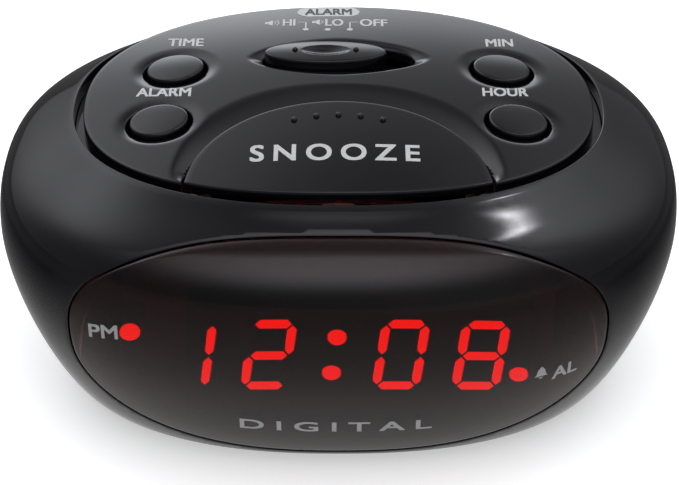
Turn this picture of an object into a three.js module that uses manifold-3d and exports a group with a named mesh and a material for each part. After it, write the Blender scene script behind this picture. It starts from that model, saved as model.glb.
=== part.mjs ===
// Mains LED alarm clock: a rounded plastic case with a smoked lens in front and a domed key panel on top.
// Millimetres, +X to the clock's right as it is read, +Y to the back, +Z up.
// The origin is on the surface that the clock stands on, under the middle of the case.
import * as THREE from "three";
import { mergeVertices } from "three/addons/utils/BufferGeometryUtils.js";
import Module from "manifold-3d";

const wasm = await Module();
wasm.setup();

// ---- Driving dimensions --------------------------------------------------------------------------
const BODY_WIDTH = 134;
const BODY_DEPTH = 111;
const BODY_POWER = 2.33; // superellipse exponent of the plan
const BASE_HEIGHT = 1.8; // underside of the case
const BASE_TUCK = 12; // how far the case draws in at its underside
const WIDEST_HEIGHT = 35;
const SHOULDER_HEIGHT = 54.2; // top edge of the case, above the middle
const SHOULDER_TUCK = 14.8;
const SHOULDER_STRETCH = 1.04; // the tuck is this much greater to the front and back
const TOP_SLOPE = 0.025; // rise of the shoulder towards the back
const TOP_SHIFT = 1.6; // the shoulder's centre lies this far back
const WALL = 2.4;
const AROUND = 40; // facets round the case

const CHANNEL_DEPTH = 3; // the channel round the key panel
const CHANNEL_LIP = 0.4;
const LEDGE_THICKNESS = 2.2;
const LEDGE_WIDTH = 5;

const PANEL_GAP_SIDE = 2.2; // channel width at the sides
const PANEL_GAP_END = 2.7; // and at the front and back
const PANEL_EDGE_RISE = 0.9787; // the panel's front edge above the case's shoulder
const PANEL_SLOPE = 0.055;
const PANEL_SAG = 3.5714; // fall of the dome from its crown to its sides
const PANEL_THICKNESS = 2.4;
const PANEL_RIM = 2.2;
const FIT = 0.3; // gap between pieces that seat on each other
const SLIP = 0.4; // gap round pieces that move

const LENS_HALF_WIDTH = 50.7;
const LENS_HALF_HEIGHT = 23.4;
const LENS_CENTRE = 26.5;
const LENS_POWER = 2.65;
const LENS_THICKNESS = 1.8;
const LENS_FRAME = 2.4; // overlap of the frame behind the lens
const LENS_FRAME_THICKNESS = 1.7;

const KEY_DIAMETER = 11.3;
const KEY_HOLE_GAP = 0.8;
const KEY_DISH = 2.3; // width of the dished ring round a key hole
const KEY_DISH_DEPTH = 0.5;
const KEY_PROUD = 0.8;
const KEY_TRAVEL = 0.8;
const KEY_FLANGE = 0.9; // the retaining flange's reach beyond the hole
const KEYS = [
  { name: "time_key", x: -32.6, y: 11.2 },
  { name: "alarm_key", x: -34.6, y: -9.2 },
  { name: "minute_key", x: 32.6, y: 11.2 },
  { name: "hour_key", x: 34.6, y: -9.2 },
];

const BAR_RADIUS = 28.8; // rear arc of the snooze bar
const BAR_GAP = 0.5;
const BAR_THICKNESS = 1.8;
const BAR_PROUD = 0.3;
const BAR_TRAVEL = 0.8;
const BAR_SETBACK = 2.0; // the arc's centre, behind the panel's front edge
const BAR_DOT_PITCH = 4.25;
const SCOOP_HALF_WIDTH = 30.6; // the crescent scooped out behind the snooze bar
const SCOOP_REACH = 6.4;
const SCOOP_DEPTH = 1.6;
const SCOOP_SHIFT = 3.8; // the crescent's centre, behind the bar's

const KNOB_LENGTH = 24.4;
const KNOB_WIDTH = 9.8;
const KNOB_PROUD = 1.1;
const KNOB_TRAVEL = 5.2;
const KNOB_REST = -2.6; // the knob rests at the left end of its slot
const KNOB_Y = 13.8;
const KNOB_DISH = 3; // width of the dish round the knob's slot
const KNOB_DISH_DEPTH = 0.9;

const BOARD_THICKNESS = 1.6;
const KEY_BOARD_DROP = 14.7; // the board's upper face, below the panel's crown
const KEY_BOARD_HALF_WIDTH = 40;
const TACT_SIZE = 6;
const TACT_HEIGHT = 4.2;
const TACT_PLUNGER_RADIUS = 1.7;
const TACT_PLUNGER_RISE = 1.6;
const TACT_ENTRY = 0.6; // how far the plunger reaches into its switch at rest

const DISPLAY_REACH = 1.12; // how far the display stands forward into the lens frame's opening
const DIGIT_HEIGHT = 14.7;
const DIGIT_WIDTH = 9.2;
const DIGIT_PITCH = 15;
const DIGIT_SLANT = 0.144; // sideways lean for each unit of height
const SEGMENT_WIDTH = 1.8;
const DISPLAY_CENTRE_Z = 21;
const COLON_X = -0.8;
const MODULE_DEPTH = 7;

const POST_INSET = 1.2; // the posts' centres, inboard of the ledge
const POST_Y = 12;
const POST_RADIUS = 3.5;
const SCREW_RADIUS = 1.25;
const SCREW_HEAD_RADIUS = 2.9;
const SCREW_HEAD_HEIGHT = 1.2;
const FOOT_X = 33.8;
const FOOT_Y = 26;
const FOOT_RADIUS = 5;
const FOOT_RECESS = 0.5;

const BASE_THICKNESS = 2.4;
const BATTERY_BAY = { length: 52, width: 28.5, height: 18.9 };
const BAY_WALL = 2.2;
const COVER_THICKNESS = 1.8;
const COVER_MARGIN = 1.4; // the cover's reach beyond the bay on every side
const COVER_PIN_RADIUS = 0.7;

const CORE = { width: 35, stack: 17, height: 29, leg: 10, window: 6.5 };
const CORE_X = 16;
const BUZZER_X = -20;
const BUZZER_RADIUS = 11;
const BUSHING_BORE = 2.2;

// ---- Colours and finishes ------------------------------------------------------------------------
const finish = (color, roughness, metalness = 0) => ({ color, roughness, metalness });
const GLOSS_BLACK = finish(0x0c0c0f, 0.12);
const SATIN_BLACK = finish(0x141416, 0.4);
const SMOKED = finish(0x0a0506, 0.05);
const RUBBER = finish(0x1a1a1a, 0.85);
const BOARD_TAN = finish(0xa8763a, 0.6);
const STEEL = finish(0x9a9ca0, 0.3, 1);
const LAMINATION = finish(0x55585c, 0.5, 1);
const COPPER = finish(0xb4652d, 0.35, 1);
const RED = finish(0xff1408, 0.4);
const GREY = finish(0x8b8d90, 0.5);

const group = new THREE.Group();

function addPiece(name, manifold, look) {
  const mesh = new THREE.Mesh(geometryOf(manifold), new THREE.MeshStandardMaterial(look));
  mesh.name = name;
  group.add(mesh);
  return mesh;
}

// ---- Solids --------------------------------------------------------------------------------------
function solid(geometry) {
  geometry.deleteAttribute("normal");
  geometry.deleteAttribute("uv");
  const merged = mergeVertices(geometry, 1e-4);
  const vertProperties = new Float32Array(merged.attributes.position.array);
  const triVerts = new Uint32Array(merged.index.array);
  return new wasm.Manifold(new wasm.Mesh({ numProp: 3, vertProperties, triVerts }));
}

function geometryOf(manifold) {
  const mesh = manifold.getMesh();
  const geometry = new THREE.BufferGeometry();
  geometry.setAttribute("position", new THREE.BufferAttribute(mesh.vertProperties, 3));
  geometry.setIndex(new THREE.BufferAttribute(mesh.triVerts, 1));
  geometry.computeVertexNormals();
  return geometry;
}

// A closed skin over rings that have equally many points, from the lowest ring to the highest.
function loft(rings) {
  const count = rings[0].length;
  const points = rings.flat();
  const index = [];
  for (let level = 0; level + 1 < rings.length; level += 1) {
    for (let i = 0; i < count; i += 1) {
      const a = level * count + i;
      const b = level * count + ((i + 1) % count);
      index.push(a, b, b + count, a, b + count, a + count);
    }
  }
  capRing(points, index, rings[0], 0, true);
  capRing(points, index, rings.at(-1), (rings.length - 1) * count, false);
  const geometry = new THREE.BufferGeometry().setFromPoints(points);
  geometry.setIndex(index);
  return solid(geometry);
}

function capRing(points, index, ring, first, facesDown) {
  const centre = new THREE.Vector3();
  ring.forEach((point) => centre.addScaledVector(point, 1 / ring.length));
  const hub = points.push(centre) - 1;
  for (let i = 0; i < ring.length; i += 1) {
    const next = first + ((i + 1) % ring.length);
    if (facesDown) index.push(hub, next, first + i);
    else index.push(hub, first + i, next);
  }
}

function superellipse(halfX, halfY, power, count, centreX = 0, centreY = 0) {
  const curve = (value) => Math.sign(value) * Math.abs(value) ** (2 / power);
  return Array.from({ length: count }, (_, i) => {
    const angle = (2 * Math.PI * i) / count;
    const x = centreX + halfX * curve(Math.cos(angle));
    return new THREE.Vector2(x, centreY + halfY * curve(Math.sin(angle)));
  });
}

// Lifts a flat outline to the height that a function of x and y gives.
function ringAt(outline, height) {
  const heightAt = typeof height === "function" ? height : () => height;
  return outline.map((p) => new THREE.Vector3(p.x, p.y, heightAt(p.x, p.y)));
}

function prism(outline, low, high) {
  return loft([ringAt(outline, low), ringAt(outline, high)]);
}

function circle(radius, count, x = 0, y = 0) {
  return superellipse(radius, radius, 2, count, x, y);
}

function disc(radius, low, high, x, y, count = 16) {
  return prism(circle(radius, count, x, y), low, high);
}

function box(x0, x1, y0, y1, z0, z1) {
  const geometry = new THREE.BoxGeometry(x1 - x0, y1 - y0, z1 - z0);
  geometry.translate((x0 + x1) / 2, (y0 + y1) / 2, (z0 + z1) / 2);
  return solid(geometry);
}

// An outline drawn in X and Z, given a depth in Y from front to back.
function slabXZ(outline, front, back) {
  const geometry = new THREE.ExtrudeGeometry(new THREE.Shape(outline), {
    depth: back - front,
    bevelEnabled: false,
  });
  geometry.rotateX(Math.PI / 2);
  geometry.translate(0, back, 0);
  return solid(geometry);
}

const joined = (solids) => solids.reduce((whole, piece) => whole.add(piece));
const FOUR_CORNERS = [
  [-1, -1],
  [1, -1],
  [1, 1],
  [-1, 1],
];

// ---- The case's outer form -----------------------------------------------------------------------
const HALF_WIDTH = BODY_WIDTH / 2;
const HALF_DEPTH = BODY_DEPTH / 2;

function profileCurves() {
  const v = (tuck, height) => new THREE.Vector2(tuck, height);
  const rise = SHOULDER_HEIGHT - WIDEST_HEIGHT;
  const drop = WIDEST_HEIGHT - BASE_HEIGHT;
  const lower = new THREE.CubicBezierCurve(
    v(BASE_TUCK, BASE_HEIGHT),
    v(BASE_TUCK * 0.63, BASE_HEIGHT + drop * 0.14),
    v(0, WIDEST_HEIGHT - drop * 0.31),
    v(0, WIDEST_HEIGHT),
  );
  const upper = new THREE.CubicBezierCurve(
    v(0, WIDEST_HEIGHT),
    v(0, WIDEST_HEIGHT + rise * 0.61),
    v(SHOULDER_TUCK * 0.2, WIDEST_HEIGHT + rise * 0.61),
    v(SHOULDER_TUCK, SHOULDER_HEIGHT),
  );
  return [lower, upper];
}

// Heights above the widest level lean back and rise to the back, more so towards the shoulder.
function topBlend(height) {
  const share = (height - WIDEST_HEIGHT) / (SHOULDER_HEIGHT - WIDEST_HEIGHT);
  const u = Math.min(Math.max(share, 0), 1);
  return u * u * (3 - 2 * u);
}

function bodyRing(tuck, height, lift = 0) {
  const blend = topBlend(height);
  const stretch = height > WIDEST_HEIGHT ? SHOULDER_STRETCH : 1;
  const outline = superellipse(HALF_WIDTH - tuck, HALF_DEPTH - tuck * stretch, BODY_POWER, AROUND);
  return outline.map(
    (p) => new THREE.Vector3(p.x, p.y + TOP_SHIFT * blend, height + lift + TOP_SLOPE * p.y * blend),
  );
}

// The case's form, drawn in by an offset square to its surface.
function bodyForm(offset, lowSteps = 4, highSteps = 6) {
  const [lower, upper] = profileCurves();
  const rings = [];
  const addRing = (curve, t) => {
    const point = curve.getPoint(t);
    const tangent = curve.getTangent(t);
    rings.push(bodyRing(point.x + tangent.y * offset, point.y - tangent.x * offset));
  };
  for (let i = 0; i <= lowSteps; i += 1) addRing(lower, i / lowSteps);
  for (let i = 1; i <= highSteps; i += 1) addRing(upper, i / highSteps);
  return loft(rings);
}

function shoulderRing(tuck, dz) {
  return bodyRing(tuck, SHOULDER_HEIGHT, dz);
}

// A ring or plug whose ends lie parallel to the shoulder's plane.
function shoulderPlug(tuck, dzLow, dzHigh) {
  return loft([shoulderRing(tuck, dzLow), shoulderRing(tuck, dzHigh)]);
}

function bodyOutline(tuck) {
  return superellipse(HALF_WIDTH - tuck, HALF_DEPTH - tuck, BODY_POWER, AROUND);
}

function lensPrism(reach, front = -HALF_DEPTH - 5, back = -5) {
  const outline = superellipse(
    LENS_HALF_WIDTH + reach,
    LENS_HALF_HEIGHT + reach,
    LENS_POWER,
    AROUND,
    0,
    LENS_CENTRE,
  );
  return slabXZ(outline, front, back);
}

// ---- Case shell ----------------------------------------------------------------------------------
const BASE_OPENING = BASE_TUCK + 2.6;
const LEDGE_TOP = -CHANNEL_DEPTH;
const LEDGE_LOW = LEDGE_TOP - LEDGE_THICKNESS;
const LEDGE_INNER = SHOULDER_TUCK + LEDGE_WIDTH;
const BASE_TOP = BASE_HEIGHT + BASE_THICKNESS;
const POST_X = HALF_WIDTH - LEDGE_INNER - POST_INSET;

const bushingSite = (() => {
  const [lower] = profileCurves();
  const t = 0.45;
  const point = lower.getPoint(t);
  const tangent = lower.getTangent(t);
  return { y: HALF_DEPTH - point.x, z: point.y, angle: Math.atan2(-tangent.x, tangent.y) };
})();

// Turns a piece made about +Z so that +Z points squarely out of the case's back at the cord entry.
function atBushing(geometry) {
  geometry.rotateX(-Math.PI / 2 - bushingSite.angle);
  geometry.translate(0, bushingSite.y, bushingSite.z);
  return solid(geometry);
}

function turned(radius, length, sides = 16) {
  const geometry = new THREE.CylinderGeometry(radius, radius, length, sides);
  geometry.rotateX(Math.PI / 2);
  return geometry;
}

function caseShell() {
  const ledge = shoulderPlug(SHOULDER_TUCK - 2, LEDGE_LOW, LEDGE_TOP + 1.1);
  const lensFrame = bodyForm(WALL - 0.3)
    .subtract(bodyForm(WALL - 0.3 + LENS_FRAME_THICKNESS))
    .intersect(lensPrism(LENS_FRAME).subtract(lensPrism(-LENS_FRAME)))
    .subtract(prism(bodyOutline(BASE_OPENING), -1, BODY_DEPTH));
  const posts = FOUR_CORNERS.map(([sx, sy]) =>
    disc(POST_RADIUS, BASE_TOP, SHOULDER_HEIGHT + LEDGE_LOW + 1, sx * POST_X, sy * POST_Y),
  );
  const pilots = FOUR_CORNERS.map(([sx, sy]) =>
    disc(SCREW_RADIUS + FIT, BASE_TOP - 1, BASE_TOP + 10, sx * POST_X, sy * POST_Y, 8),
  );
  return bodyForm(0)
    .subtract(bodyForm(WALL))
    .add(ledge)
    .add(lensFrame)
    .add(joined(posts))
    .subtract(joined(pilots))
    .subtract(shoulderPlug(SHOULDER_TUCK + CHANNEL_LIP, LEDGE_TOP, 10))
    .subtract(shoulderPlug(LEDGE_INNER, LEDGE_LOW - 5, 10))
    .subtract(prism(bodyOutline(BASE_OPENING), -1, BASE_TOP - 0.1))
    .subtract(bodyForm(-2).subtract(bodyForm(LENS_THICKNESS + FIT)).intersect(lensPrism(0)))
    .subtract(atBushing(turned(BUSHING_BORE + 2, 16)));
}

addPiece("case_shell", caseShell(), GLOSS_BLACK);

// ---- Front lens ----------------------------------------------------------------------------------
const frontLens = bodyForm(0).subtract(bodyForm(LENS_THICKNESS)).intersect(lensPrism(-FIT));
addPiece("front_lens", frontLens, SMOKED);

// ---- Key panel -----------------------------------------------------------------------------------
const PANEL_HALF_WIDTH = HALF_WIDTH - SHOULDER_TUCK - PANEL_GAP_SIDE;
const PANEL_HALF_DEPTH = HALF_DEPTH - SHOULDER_TUCK * SHOULDER_STRETCH - PANEL_GAP_END;
const PANEL_FRONT = TOP_SHIFT - PANEL_HALF_DEPTH;
const PANEL_RADIUS = PANEL_HALF_WIDTH ** 2 / (2 * PANEL_SAG);
const PANEL_FRONT_FALL = PANEL_SLOPE * PANEL_HALF_DEPTH + PANEL_HALF_DEPTH ** 2 / (2 * PANEL_RADIUS);
const PANEL_FRONT_HEIGHT = SHOULDER_HEIGHT - TOP_SLOPE * PANEL_HALF_DEPTH + PANEL_EDGE_RISE;
const PANEL_HEIGHT = PANEL_FRONT_HEIGHT + PANEL_FRONT_FALL;
const KEY_BOARD_TOP = PANEL_HEIGHT - KEY_BOARD_DROP;

function panelHeight(x, y) {
  const v = y - TOP_SHIFT;
  return PANEL_HEIGHT + PANEL_SLOPE * v - (x * x + v * v) / (2 * PANEL_RADIUS);
}

const abovePanel = (dz) => (x, y) => panelHeight(x, y) + dz;
const ledgePlane = (dz) => (x, y) => SHOULDER_HEIGHT + dz + TOP_SLOPE * (y - TOP_SHIFT);

function panelOutline(inset, share = 1) {
  return superellipse(
    (PANEL_HALF_WIDTH - inset) * share,
    (PANEL_HALF_DEPTH - inset) * share,
    BODY_POWER,
    AROUND,
    0,
    TOP_SHIFT,
  );
}

// A solid bounded above by the panel's dome, or a surface parallel to it.
function domed(inset, floor, dz, edgeBreak = 0) {
  const rings = [ringAt(panelOutline(inset), floor)];
  if (edgeBreak) rings.push(ringAt(panelOutline(inset), abovePanel(dz - edgeBreak)));
  for (const share of [1, 0.72, 0.38]) {
    rings.push(ringAt(panelOutline(inset + edgeBreak, share), abovePanel(dz)));
  }
  return loft(rings);
}

const BAR_CENTRE_Y = PANEL_FRONT + BAR_SETBACK;
const KEY_HOLE_RADIUS = KEY_DIAMETER / 2 + KEY_HOLE_GAP;
const KEY_FLANGE_RADIUS = KEY_HOLE_RADIUS + KEY_FLANGE;

// A hollow in the panel, from one outline at its floor to another at the panel's surface.
function dishBetween(floor, brim, depth) {
  return loft([
    ringAt(floor, abovePanel(-depth)),
    ringAt(brim, abovePanel(0)),
    ringAt(brim, abovePanel(4)),
  ]);
}

function keyDish(key) {
  const wide = circle(KEY_HOLE_RADIUS + KEY_DISH, 20, key.x, key.y);
  const hole = circle(KEY_HOLE_RADIUS, 20, key.x, key.y);
  return dishBetween(hole, wide, KEY_DISH_DEPTH);
}

// The outline that the oval knob sweeps as it slides.
function knobTrack(grow, power = 2) {
  const half = KNOB_TRAVEL / 2;
  const outline = superellipse(KNOB_LENGTH / 2 + grow, KNOB_WIDTH / 2 + grow, power, 32, 0, KNOB_Y);
  return outline.map((p) => new THREE.Vector2(p.x + Math.sign(Math.round(p.x * 1e3)) * half, p.y));
}

function knobDish() {
  const halfX = KNOB_LENGTH / 2 + KNOB_TRAVEL / 2 + KNOB_DISH;
  const eye = superellipse(halfX, KNOB_WIDTH / 2 + KNOB_DISH, 1.7, 32, 0, KNOB_Y);
  return dishBetween(knobTrack(SLIP), eye, KNOB_DISH_DEPTH);
}

function barScoop() {
  const inner = circle(BAR_RADIUS + BAR_GAP, AROUND, 0, BAR_CENTRE_Y);
  const outer = superellipse(
    SCOOP_HALF_WIDTH,
    BAR_RADIUS + BAR_GAP + SCOOP_REACH - SCOOP_SHIFT,
    BODY_POWER,
    AROUND,
    0,
    BAR_CENTRE_Y + SCOOP_SHIFT,
  );
  return dishBetween(inner, outer, SCOOP_DEPTH);
}

const BOSS_RADIUS = 2.4;
const REAR_BOSS = { x: 25, y: 22.6 };
const HOOK_WIDTH = 6;

// The side bosses stand clear of both keys' flanges, on the line between the keys or inboard of it.
const sideBoss = (() => {
  const [rear, front] = KEYS;
  const across = Math.abs(front.x) - Math.abs(rear.x);
  const along = rear.y - front.y;
  const half = Math.hypot(across, along) / 2;
  const clear = KEY_FLANGE_RADIUS + BOSS_RADIUS + FIT;
  const shift = Math.sqrt(Math.max(clear ** 2 - half ** 2, 0));
  const x = Math.abs(rear.x + front.x) / 2 - (shift * along) / (2 * half);
  return { x, y: (rear.y + front.y) / 2 - (shift * across) / (2 * half) };
})();
const BOSS_SITES = [
  [-sideBoss.x, sideBoss.y],
  [sideBoss.x, sideBoss.y],
  [-REAR_BOSS.x, REAR_BOSS.y],
  [REAR_BOSS.x, REAR_BOSS.y],
];
const PILOT_RADIUS = 1.1;

const SKIRT_WALL = 1.4;

function panelSkirt() {
  const outer = LEDGE_INNER + SLIP;
  const low = LEDGE_LOW - 2;
  const skirt = shoulderPlug(outer, low, 1).subtract(shoulderPlug(outer + SKIRT_WALL, low - 1, 2));
  const reach = HALF_WIDTH - outer;
  const hooks = [-1, 1].map((side) => {
    const near = side * (reach - 1);
    const far = side * (reach + 1);
    const top = SHOULDER_HEIGHT + LEDGE_LOW - FIT - 0.3;
    return box(Math.min(near, far), Math.max(near, far), -HOOK_WIDTH / 2, HOOK_WIDTH / 2, top - 1.2, top);
  });
  return skirt.add(joined(hooks));
}

function topPanel() {
  const rimLow = ledgePlane(LEDGE_TOP + FIT);
  const under = domed(PANEL_RIM, ledgePlane(LEDGE_LOW - 12), -PANEL_THICKNESS);
  const outerForm = domed(0, rimLow, 0, 0.4);
  const bosses = BOSS_SITES.map(([x, y]) =>
    disc(BOSS_RADIUS, KEY_BOARD_TOP, panelHeight(x, y) - 1, x, y, 12),
  );
  const pilots = BOSS_SITES.map(([x, y]) =>
    disc(PILOT_RADIUS, KEY_BOARD_TOP - 1, KEY_BOARD_TOP + 6, x, y, 8),
  );
  const rimTop = abovePanel(BAR_PROUD - BAR_THICKNESS - BAR_TRAVEL - SLIP);
  const barHole = prism(circle(BAR_RADIUS + BAR_GAP, AROUND, 0, BAR_CENTRE_Y), 30, 80);
  const frontRim = loft([ringAt(panelOutline(-1), rimLow), ringAt(panelOutline(-1), rimTop)]).subtract(
    prism(panelOutline(LEDGE_WIDTH - PANEL_GAP_SIDE + SLIP + 1.4), 30, 80),
  );
  let panel = outerForm.subtract(under).add(panelSkirt().intersect(domed(0.5, -5, -0.5)));
  const belowBar = prism(panelOutline(-5), 0, SHOULDER_HEIGHT - 4);
  panel = panel.subtract(barHole.subtract(frontRim).subtract(belowBar));
  panel = panel.subtract(barScoop().intersect(prism(panelOutline(3), 30, 80)));
  panel = panel.add(joined(bosses)).subtract(joined(pilots));
  for (const key of KEYS) {
    panel = panel.subtract(keyDish(key)).subtract(disc(KEY_HOLE_RADIUS, 50, 70, key.x, key.y, 20));
  }
  return panel.subtract(knobDish()).subtract(prism(knobTrack(SLIP), 50, 70));
}

addPiece("top_panel", topPanel(), GLOSS_BLACK);

// ---- Push keys -----------------------------------------------------------------------------------
const TACT_TOP = KEY_BOARD_TOP + TACT_HEIGHT;
const PLUNGER_TOP = TACT_TOP + TACT_PLUNGER_RISE;

function pushKey(key) {
  const radius = KEY_DIAMETER / 2;
  const low = panelHeight(key.x, key.y) - PANEL_THICKNESS - 2.4;
  const crown = (dz) => (x, y) => {
    const r2 = (x - key.x) ** 2 + (y - key.y) ** 2;
    return panelHeight(x, y) + KEY_PROUD + dz - 0.5 * (r2 / radius ** 2);
  };
  const cap = loft([
    ringAt(circle(radius, 20, key.x, key.y), low),
    ringAt(circle(radius, 20, key.x, key.y), crown(-0.3)),
    ringAt(circle(radius - 0.5, 20, key.x, key.y), crown(0)),
    ringAt(circle(radius * 0.5, 20, key.x, key.y), crown(0)),
  ]);
  const insideSkirt = shoulderPlug(LEDGE_INNER + SKIRT_WALL + 2 * SLIP, LEDGE_LOW - 20, 20);
  const flange = disc(KEY_FLANGE_RADIUS, low, low + 1, key.x, key.y, 20).intersect(insideSkirt);
  return cap
    .add(flange)
    .subtract(disc(radius - 1.6, low - 1, low + 3.4, key.x, key.y))
    .add(disc(1.5, PLUNGER_TOP, low + 4, key.x, key.y, 8));
}

for (const key of KEYS) addPiece(key.name, pushKey(key), GLOSS_BLACK);

// ---- Snooze bar ----------------------------------------------------------------------------------
const BAR_SWITCH_Y = BAR_CENTRE_Y + BAR_RADIUS * 0.45;

function barSlab(radius, dzLow, dzHigh, inset = 0) {
  return domed(inset, abovePanel(dzLow), dzHigh).intersect(
    prism(circle(radius, AROUND, 0, BAR_CENTRE_Y), 30, 80),
  );
}

function snoozeBar() {
  const plate = barSlab(BAR_RADIUS, BAR_PROUD - BAR_THICKNESS, BAR_PROUD);
  const behindRim = prism(panelOutline(LEDGE_WIDTH - PANEL_GAP_SIDE + 1.4 + SLIP + 1), 30, 80);
  const apron = barSlab(BAR_RADIUS, -5, 0).subtract(barSlab(BAR_RADIUS - 1.4, -9, 3)).intersect(behindRim);
  const flange = barSlab(BAR_RADIUS + BAR_GAP + 1.2, -5, -PANEL_THICKNESS - 1.4)
    .subtract(barSlab(BAR_RADIUS - 1.4, -9, 3))
    .intersect(behindRim);
  const stem = disc(2, PLUNGER_TOP, panelHeight(0, BAR_SWITCH_Y) - 0.5, 0, BAR_SWITCH_Y, 16);
  const dots = [-2, -1, 0, 1, 2].map((step) => {
    const x = step * BAR_DOT_PITCH;
    const y = BAR_CENTRE_Y + Math.sqrt((BAR_RADIUS - 5.6) ** 2 - x * x);
    const rise = new THREE.SphereGeometry(0.65, 8, 4);
    rise.translate(x, y, panelHeight(x, y) + BAR_PROUD);
    return solid(rise);
  });
  return plate.add(apron).add(flange).add(stem).add(joined(dots));
}

addPiece("snooze_bar", snoozeBar(), GLOSS_BLACK);

// ---- Alarm switch: oval knob, lever and switch body ----------------------------------------------
const SWITCH_HALF_LENGTH = 9;
const SWITCH_TOP = KEY_BOARD_TOP + 4.8;
const LEVER_TOP = SWITCH_TOP + 3.4;
const LEVER_HALF = 1.2;

// A square block about the switch lever's own axis.
function squarePost(half, low, high) {
  return box(KNOB_REST - half, KNOB_REST + half, KNOB_Y - half, KNOB_Y + half, low, high);
}

function alarmKnob() {
  const y = KNOB_Y;
  const low = panelHeight(0, y) - PANEL_THICKNESS - 2.6;
  const outline = (grow) => superellipse(KNOB_LENGTH / 2 + grow, KNOB_WIDTH / 2 + grow, 2, 28, KNOB_REST, y);
  const top = (dz) => () => panelHeight(0, y) + KNOB_PROUD + dz;
  const cap = loft([
    ringAt(outline(0), low),
    ringAt(outline(0), top(-0.4)),
    ringAt(outline(-0.5), top(0)),
    ringAt(outline(-KNOB_WIDTH / 4), top(0.35)),
  ]);
  const flange = prism(
    superellipse(KNOB_LENGTH / 2 + KNOB_TRAVEL / 2 + 1.6, KNOB_WIDTH / 2 + 1.6, 3, 20, KNOB_REST, y),
    low,
    low + 1,
  );
  const thumbHollow = new THREE.SphereGeometry(16, 28, 28);
  thumbHollow.scale(1, 0.5, 1);
  thumbHollow.translate(KNOB_REST, y, panelHeight(0, y) + KNOB_PROUD + 15.6);
  const dots = [-1, 1].map((side) => {
    const rise = new THREE.SphereGeometry(0.6, 8, 4);
    rise.translate(KNOB_REST + side * 6.1, y, panelHeight(0, y) + KNOB_PROUD + 0.35);
    return solid(rise);
  });
  const fork = box(KNOB_REST - 3, KNOB_REST + 3, y - 2.6, y + 2.6, SWITCH_TOP + 1, low + 0.5);
  const slot = squarePost(LEVER_HALF + FIT, 30, LEVER_TOP + FIT);
  return cap.add(flange).subtract(solid(thumbHollow)).add(joined(dots)).add(fork).subtract(slot);
}

function slideSwitch() {
  const half = SWITCH_HALF_LENGTH;
  const body = box(-half, half, KNOB_Y - 3.5, KNOB_Y + 3.5, KEY_BOARD_TOP, SWITCH_TOP);
  const reach = KNOB_TRAVEL / 2 + 3;
  return body.subtract(box(-reach, reach, KNOB_Y - 2, KNOB_Y + 2, KEY_BOARD_TOP + 1.5, SWITCH_TOP + 1));
}

function switchLever() {
  const [left, right] = [KNOB_REST - 2.4, KNOB_REST + 2.4];
  const foot = box(left, right, KNOB_Y - 1.6, KNOB_Y + 1.6, KEY_BOARD_TOP + 1.8, SWITCH_TOP - 0.6);
  return foot.add(squarePost(LEVER_HALF, SWITCH_TOP - 1, LEVER_TOP));
}

addPiece("alarm_switch_knob", alarmKnob(), GLOSS_BLACK);
addPiece("slide_switch_body", slideSwitch(), STEEL);
addPiece("slide_switch_lever", switchLever(), SATIN_BLACK);

// ---- Key board with its tact switches ------------------------------------------------------------
const KEY_BOARD_LOW = KEY_BOARD_TOP - BOARD_THICKNESS;
const KEY_BOARD_FRONT = BAR_SWITCH_Y - 6;
const KEY_BOARD_BACK = 27;

function keyBoard() {
  const half = KEY_BOARD_HALF_WIDTH;
  const board = box(-half, half, KEY_BOARD_FRONT, KEY_BOARD_BACK, KEY_BOARD_LOW, KEY_BOARD_TOP);
  const holes = BOSS_SITES.map(([x, y]) => disc(PILOT_RADIUS, 30, 60, x, y, 8));
  return board.subtract(joined(holes));
}

const TACT_SITES = [...KEYS, { name: "snooze", x: 0, y: BAR_SWITCH_Y }];

function tactBody(site) {
  const half = TACT_SIZE / 2;
  const body = box(site.x - half, site.x + half, site.y - half, site.y + half, KEY_BOARD_TOP, TACT_TOP);
  const low = TACT_TOP - TACT_ENTRY - KEY_TRAVEL - SLIP;
  return body.subtract(disc(TACT_PLUNGER_RADIUS + FIT, low, TACT_TOP + 1, site.x, site.y, 10));
}

function tactPlunger(site) {
  return disc(TACT_PLUNGER_RADIUS, TACT_TOP - TACT_ENTRY, PLUNGER_TOP - FIT, site.x, site.y, 10);
}

addPiece("key_board", keyBoard(), BOARD_TAN);
for (const site of TACT_SITES) {
  const stem = site.name.replace("_key", "");
  addPiece(`${stem}_tact_switch`, tactBody(site), STEEL);
  addPiece(`${stem}_tact_plunger`, tactPlunger(site), SATIN_BLACK);
}

// A slotted screw driven upwards, with its head's upper face at the given height.
function screwUp(x, y, seat, length, radius, headRadius, headHeight) {
  const reach = headRadius * 0.8;
  const slot = box(x - reach, x + reach, y - 0.3, y + 0.3, seat - headHeight - 1, seat - headHeight * 0.4);
  return disc(headRadius, seat - headHeight, seat, x, y, 12)
    .add(disc(radius, seat - 0.2, seat + length, x, y, 8))
    .subtract(slot);
}

BOSS_SITES.forEach(([x, y], i) => {
  addPiece(`board_screw_${i + 1}`, screwUp(x, y, KEY_BOARD_LOW - 0.05, 6, 0.8, 1.9, 1), STEEL);
});

// ---- Where the display stands ---------------------------------------------------------------------
const DIGIT_CENTRES = [-1.82, -0.82, 0.84, 1.84].map((steps) => COLON_X + steps * DIGIT_PITCH);
const MODULE_RIM = 2.2;
const INDICATOR_RADIUS = 1.85;
const ALARM_DOT = { x: 33.9, z: DISPLAY_CENTRE_Z - 3.9 };
const MODULE_LEFT = DIGIT_CENTRES[0] - 0.2;
const MODULE_RIGHT = ALARM_DOT.x + INDICATOR_RADIUS + 0.7;
const MODULE_LOW = DISPLAY_CENTRE_Z - DIGIT_HEIGHT / 2 - 1.6;
const MODULE_HIGH = DISPLAY_CENTRE_Z + DIGIT_HEIGHT / 2 + MODULE_RIM;

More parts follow.
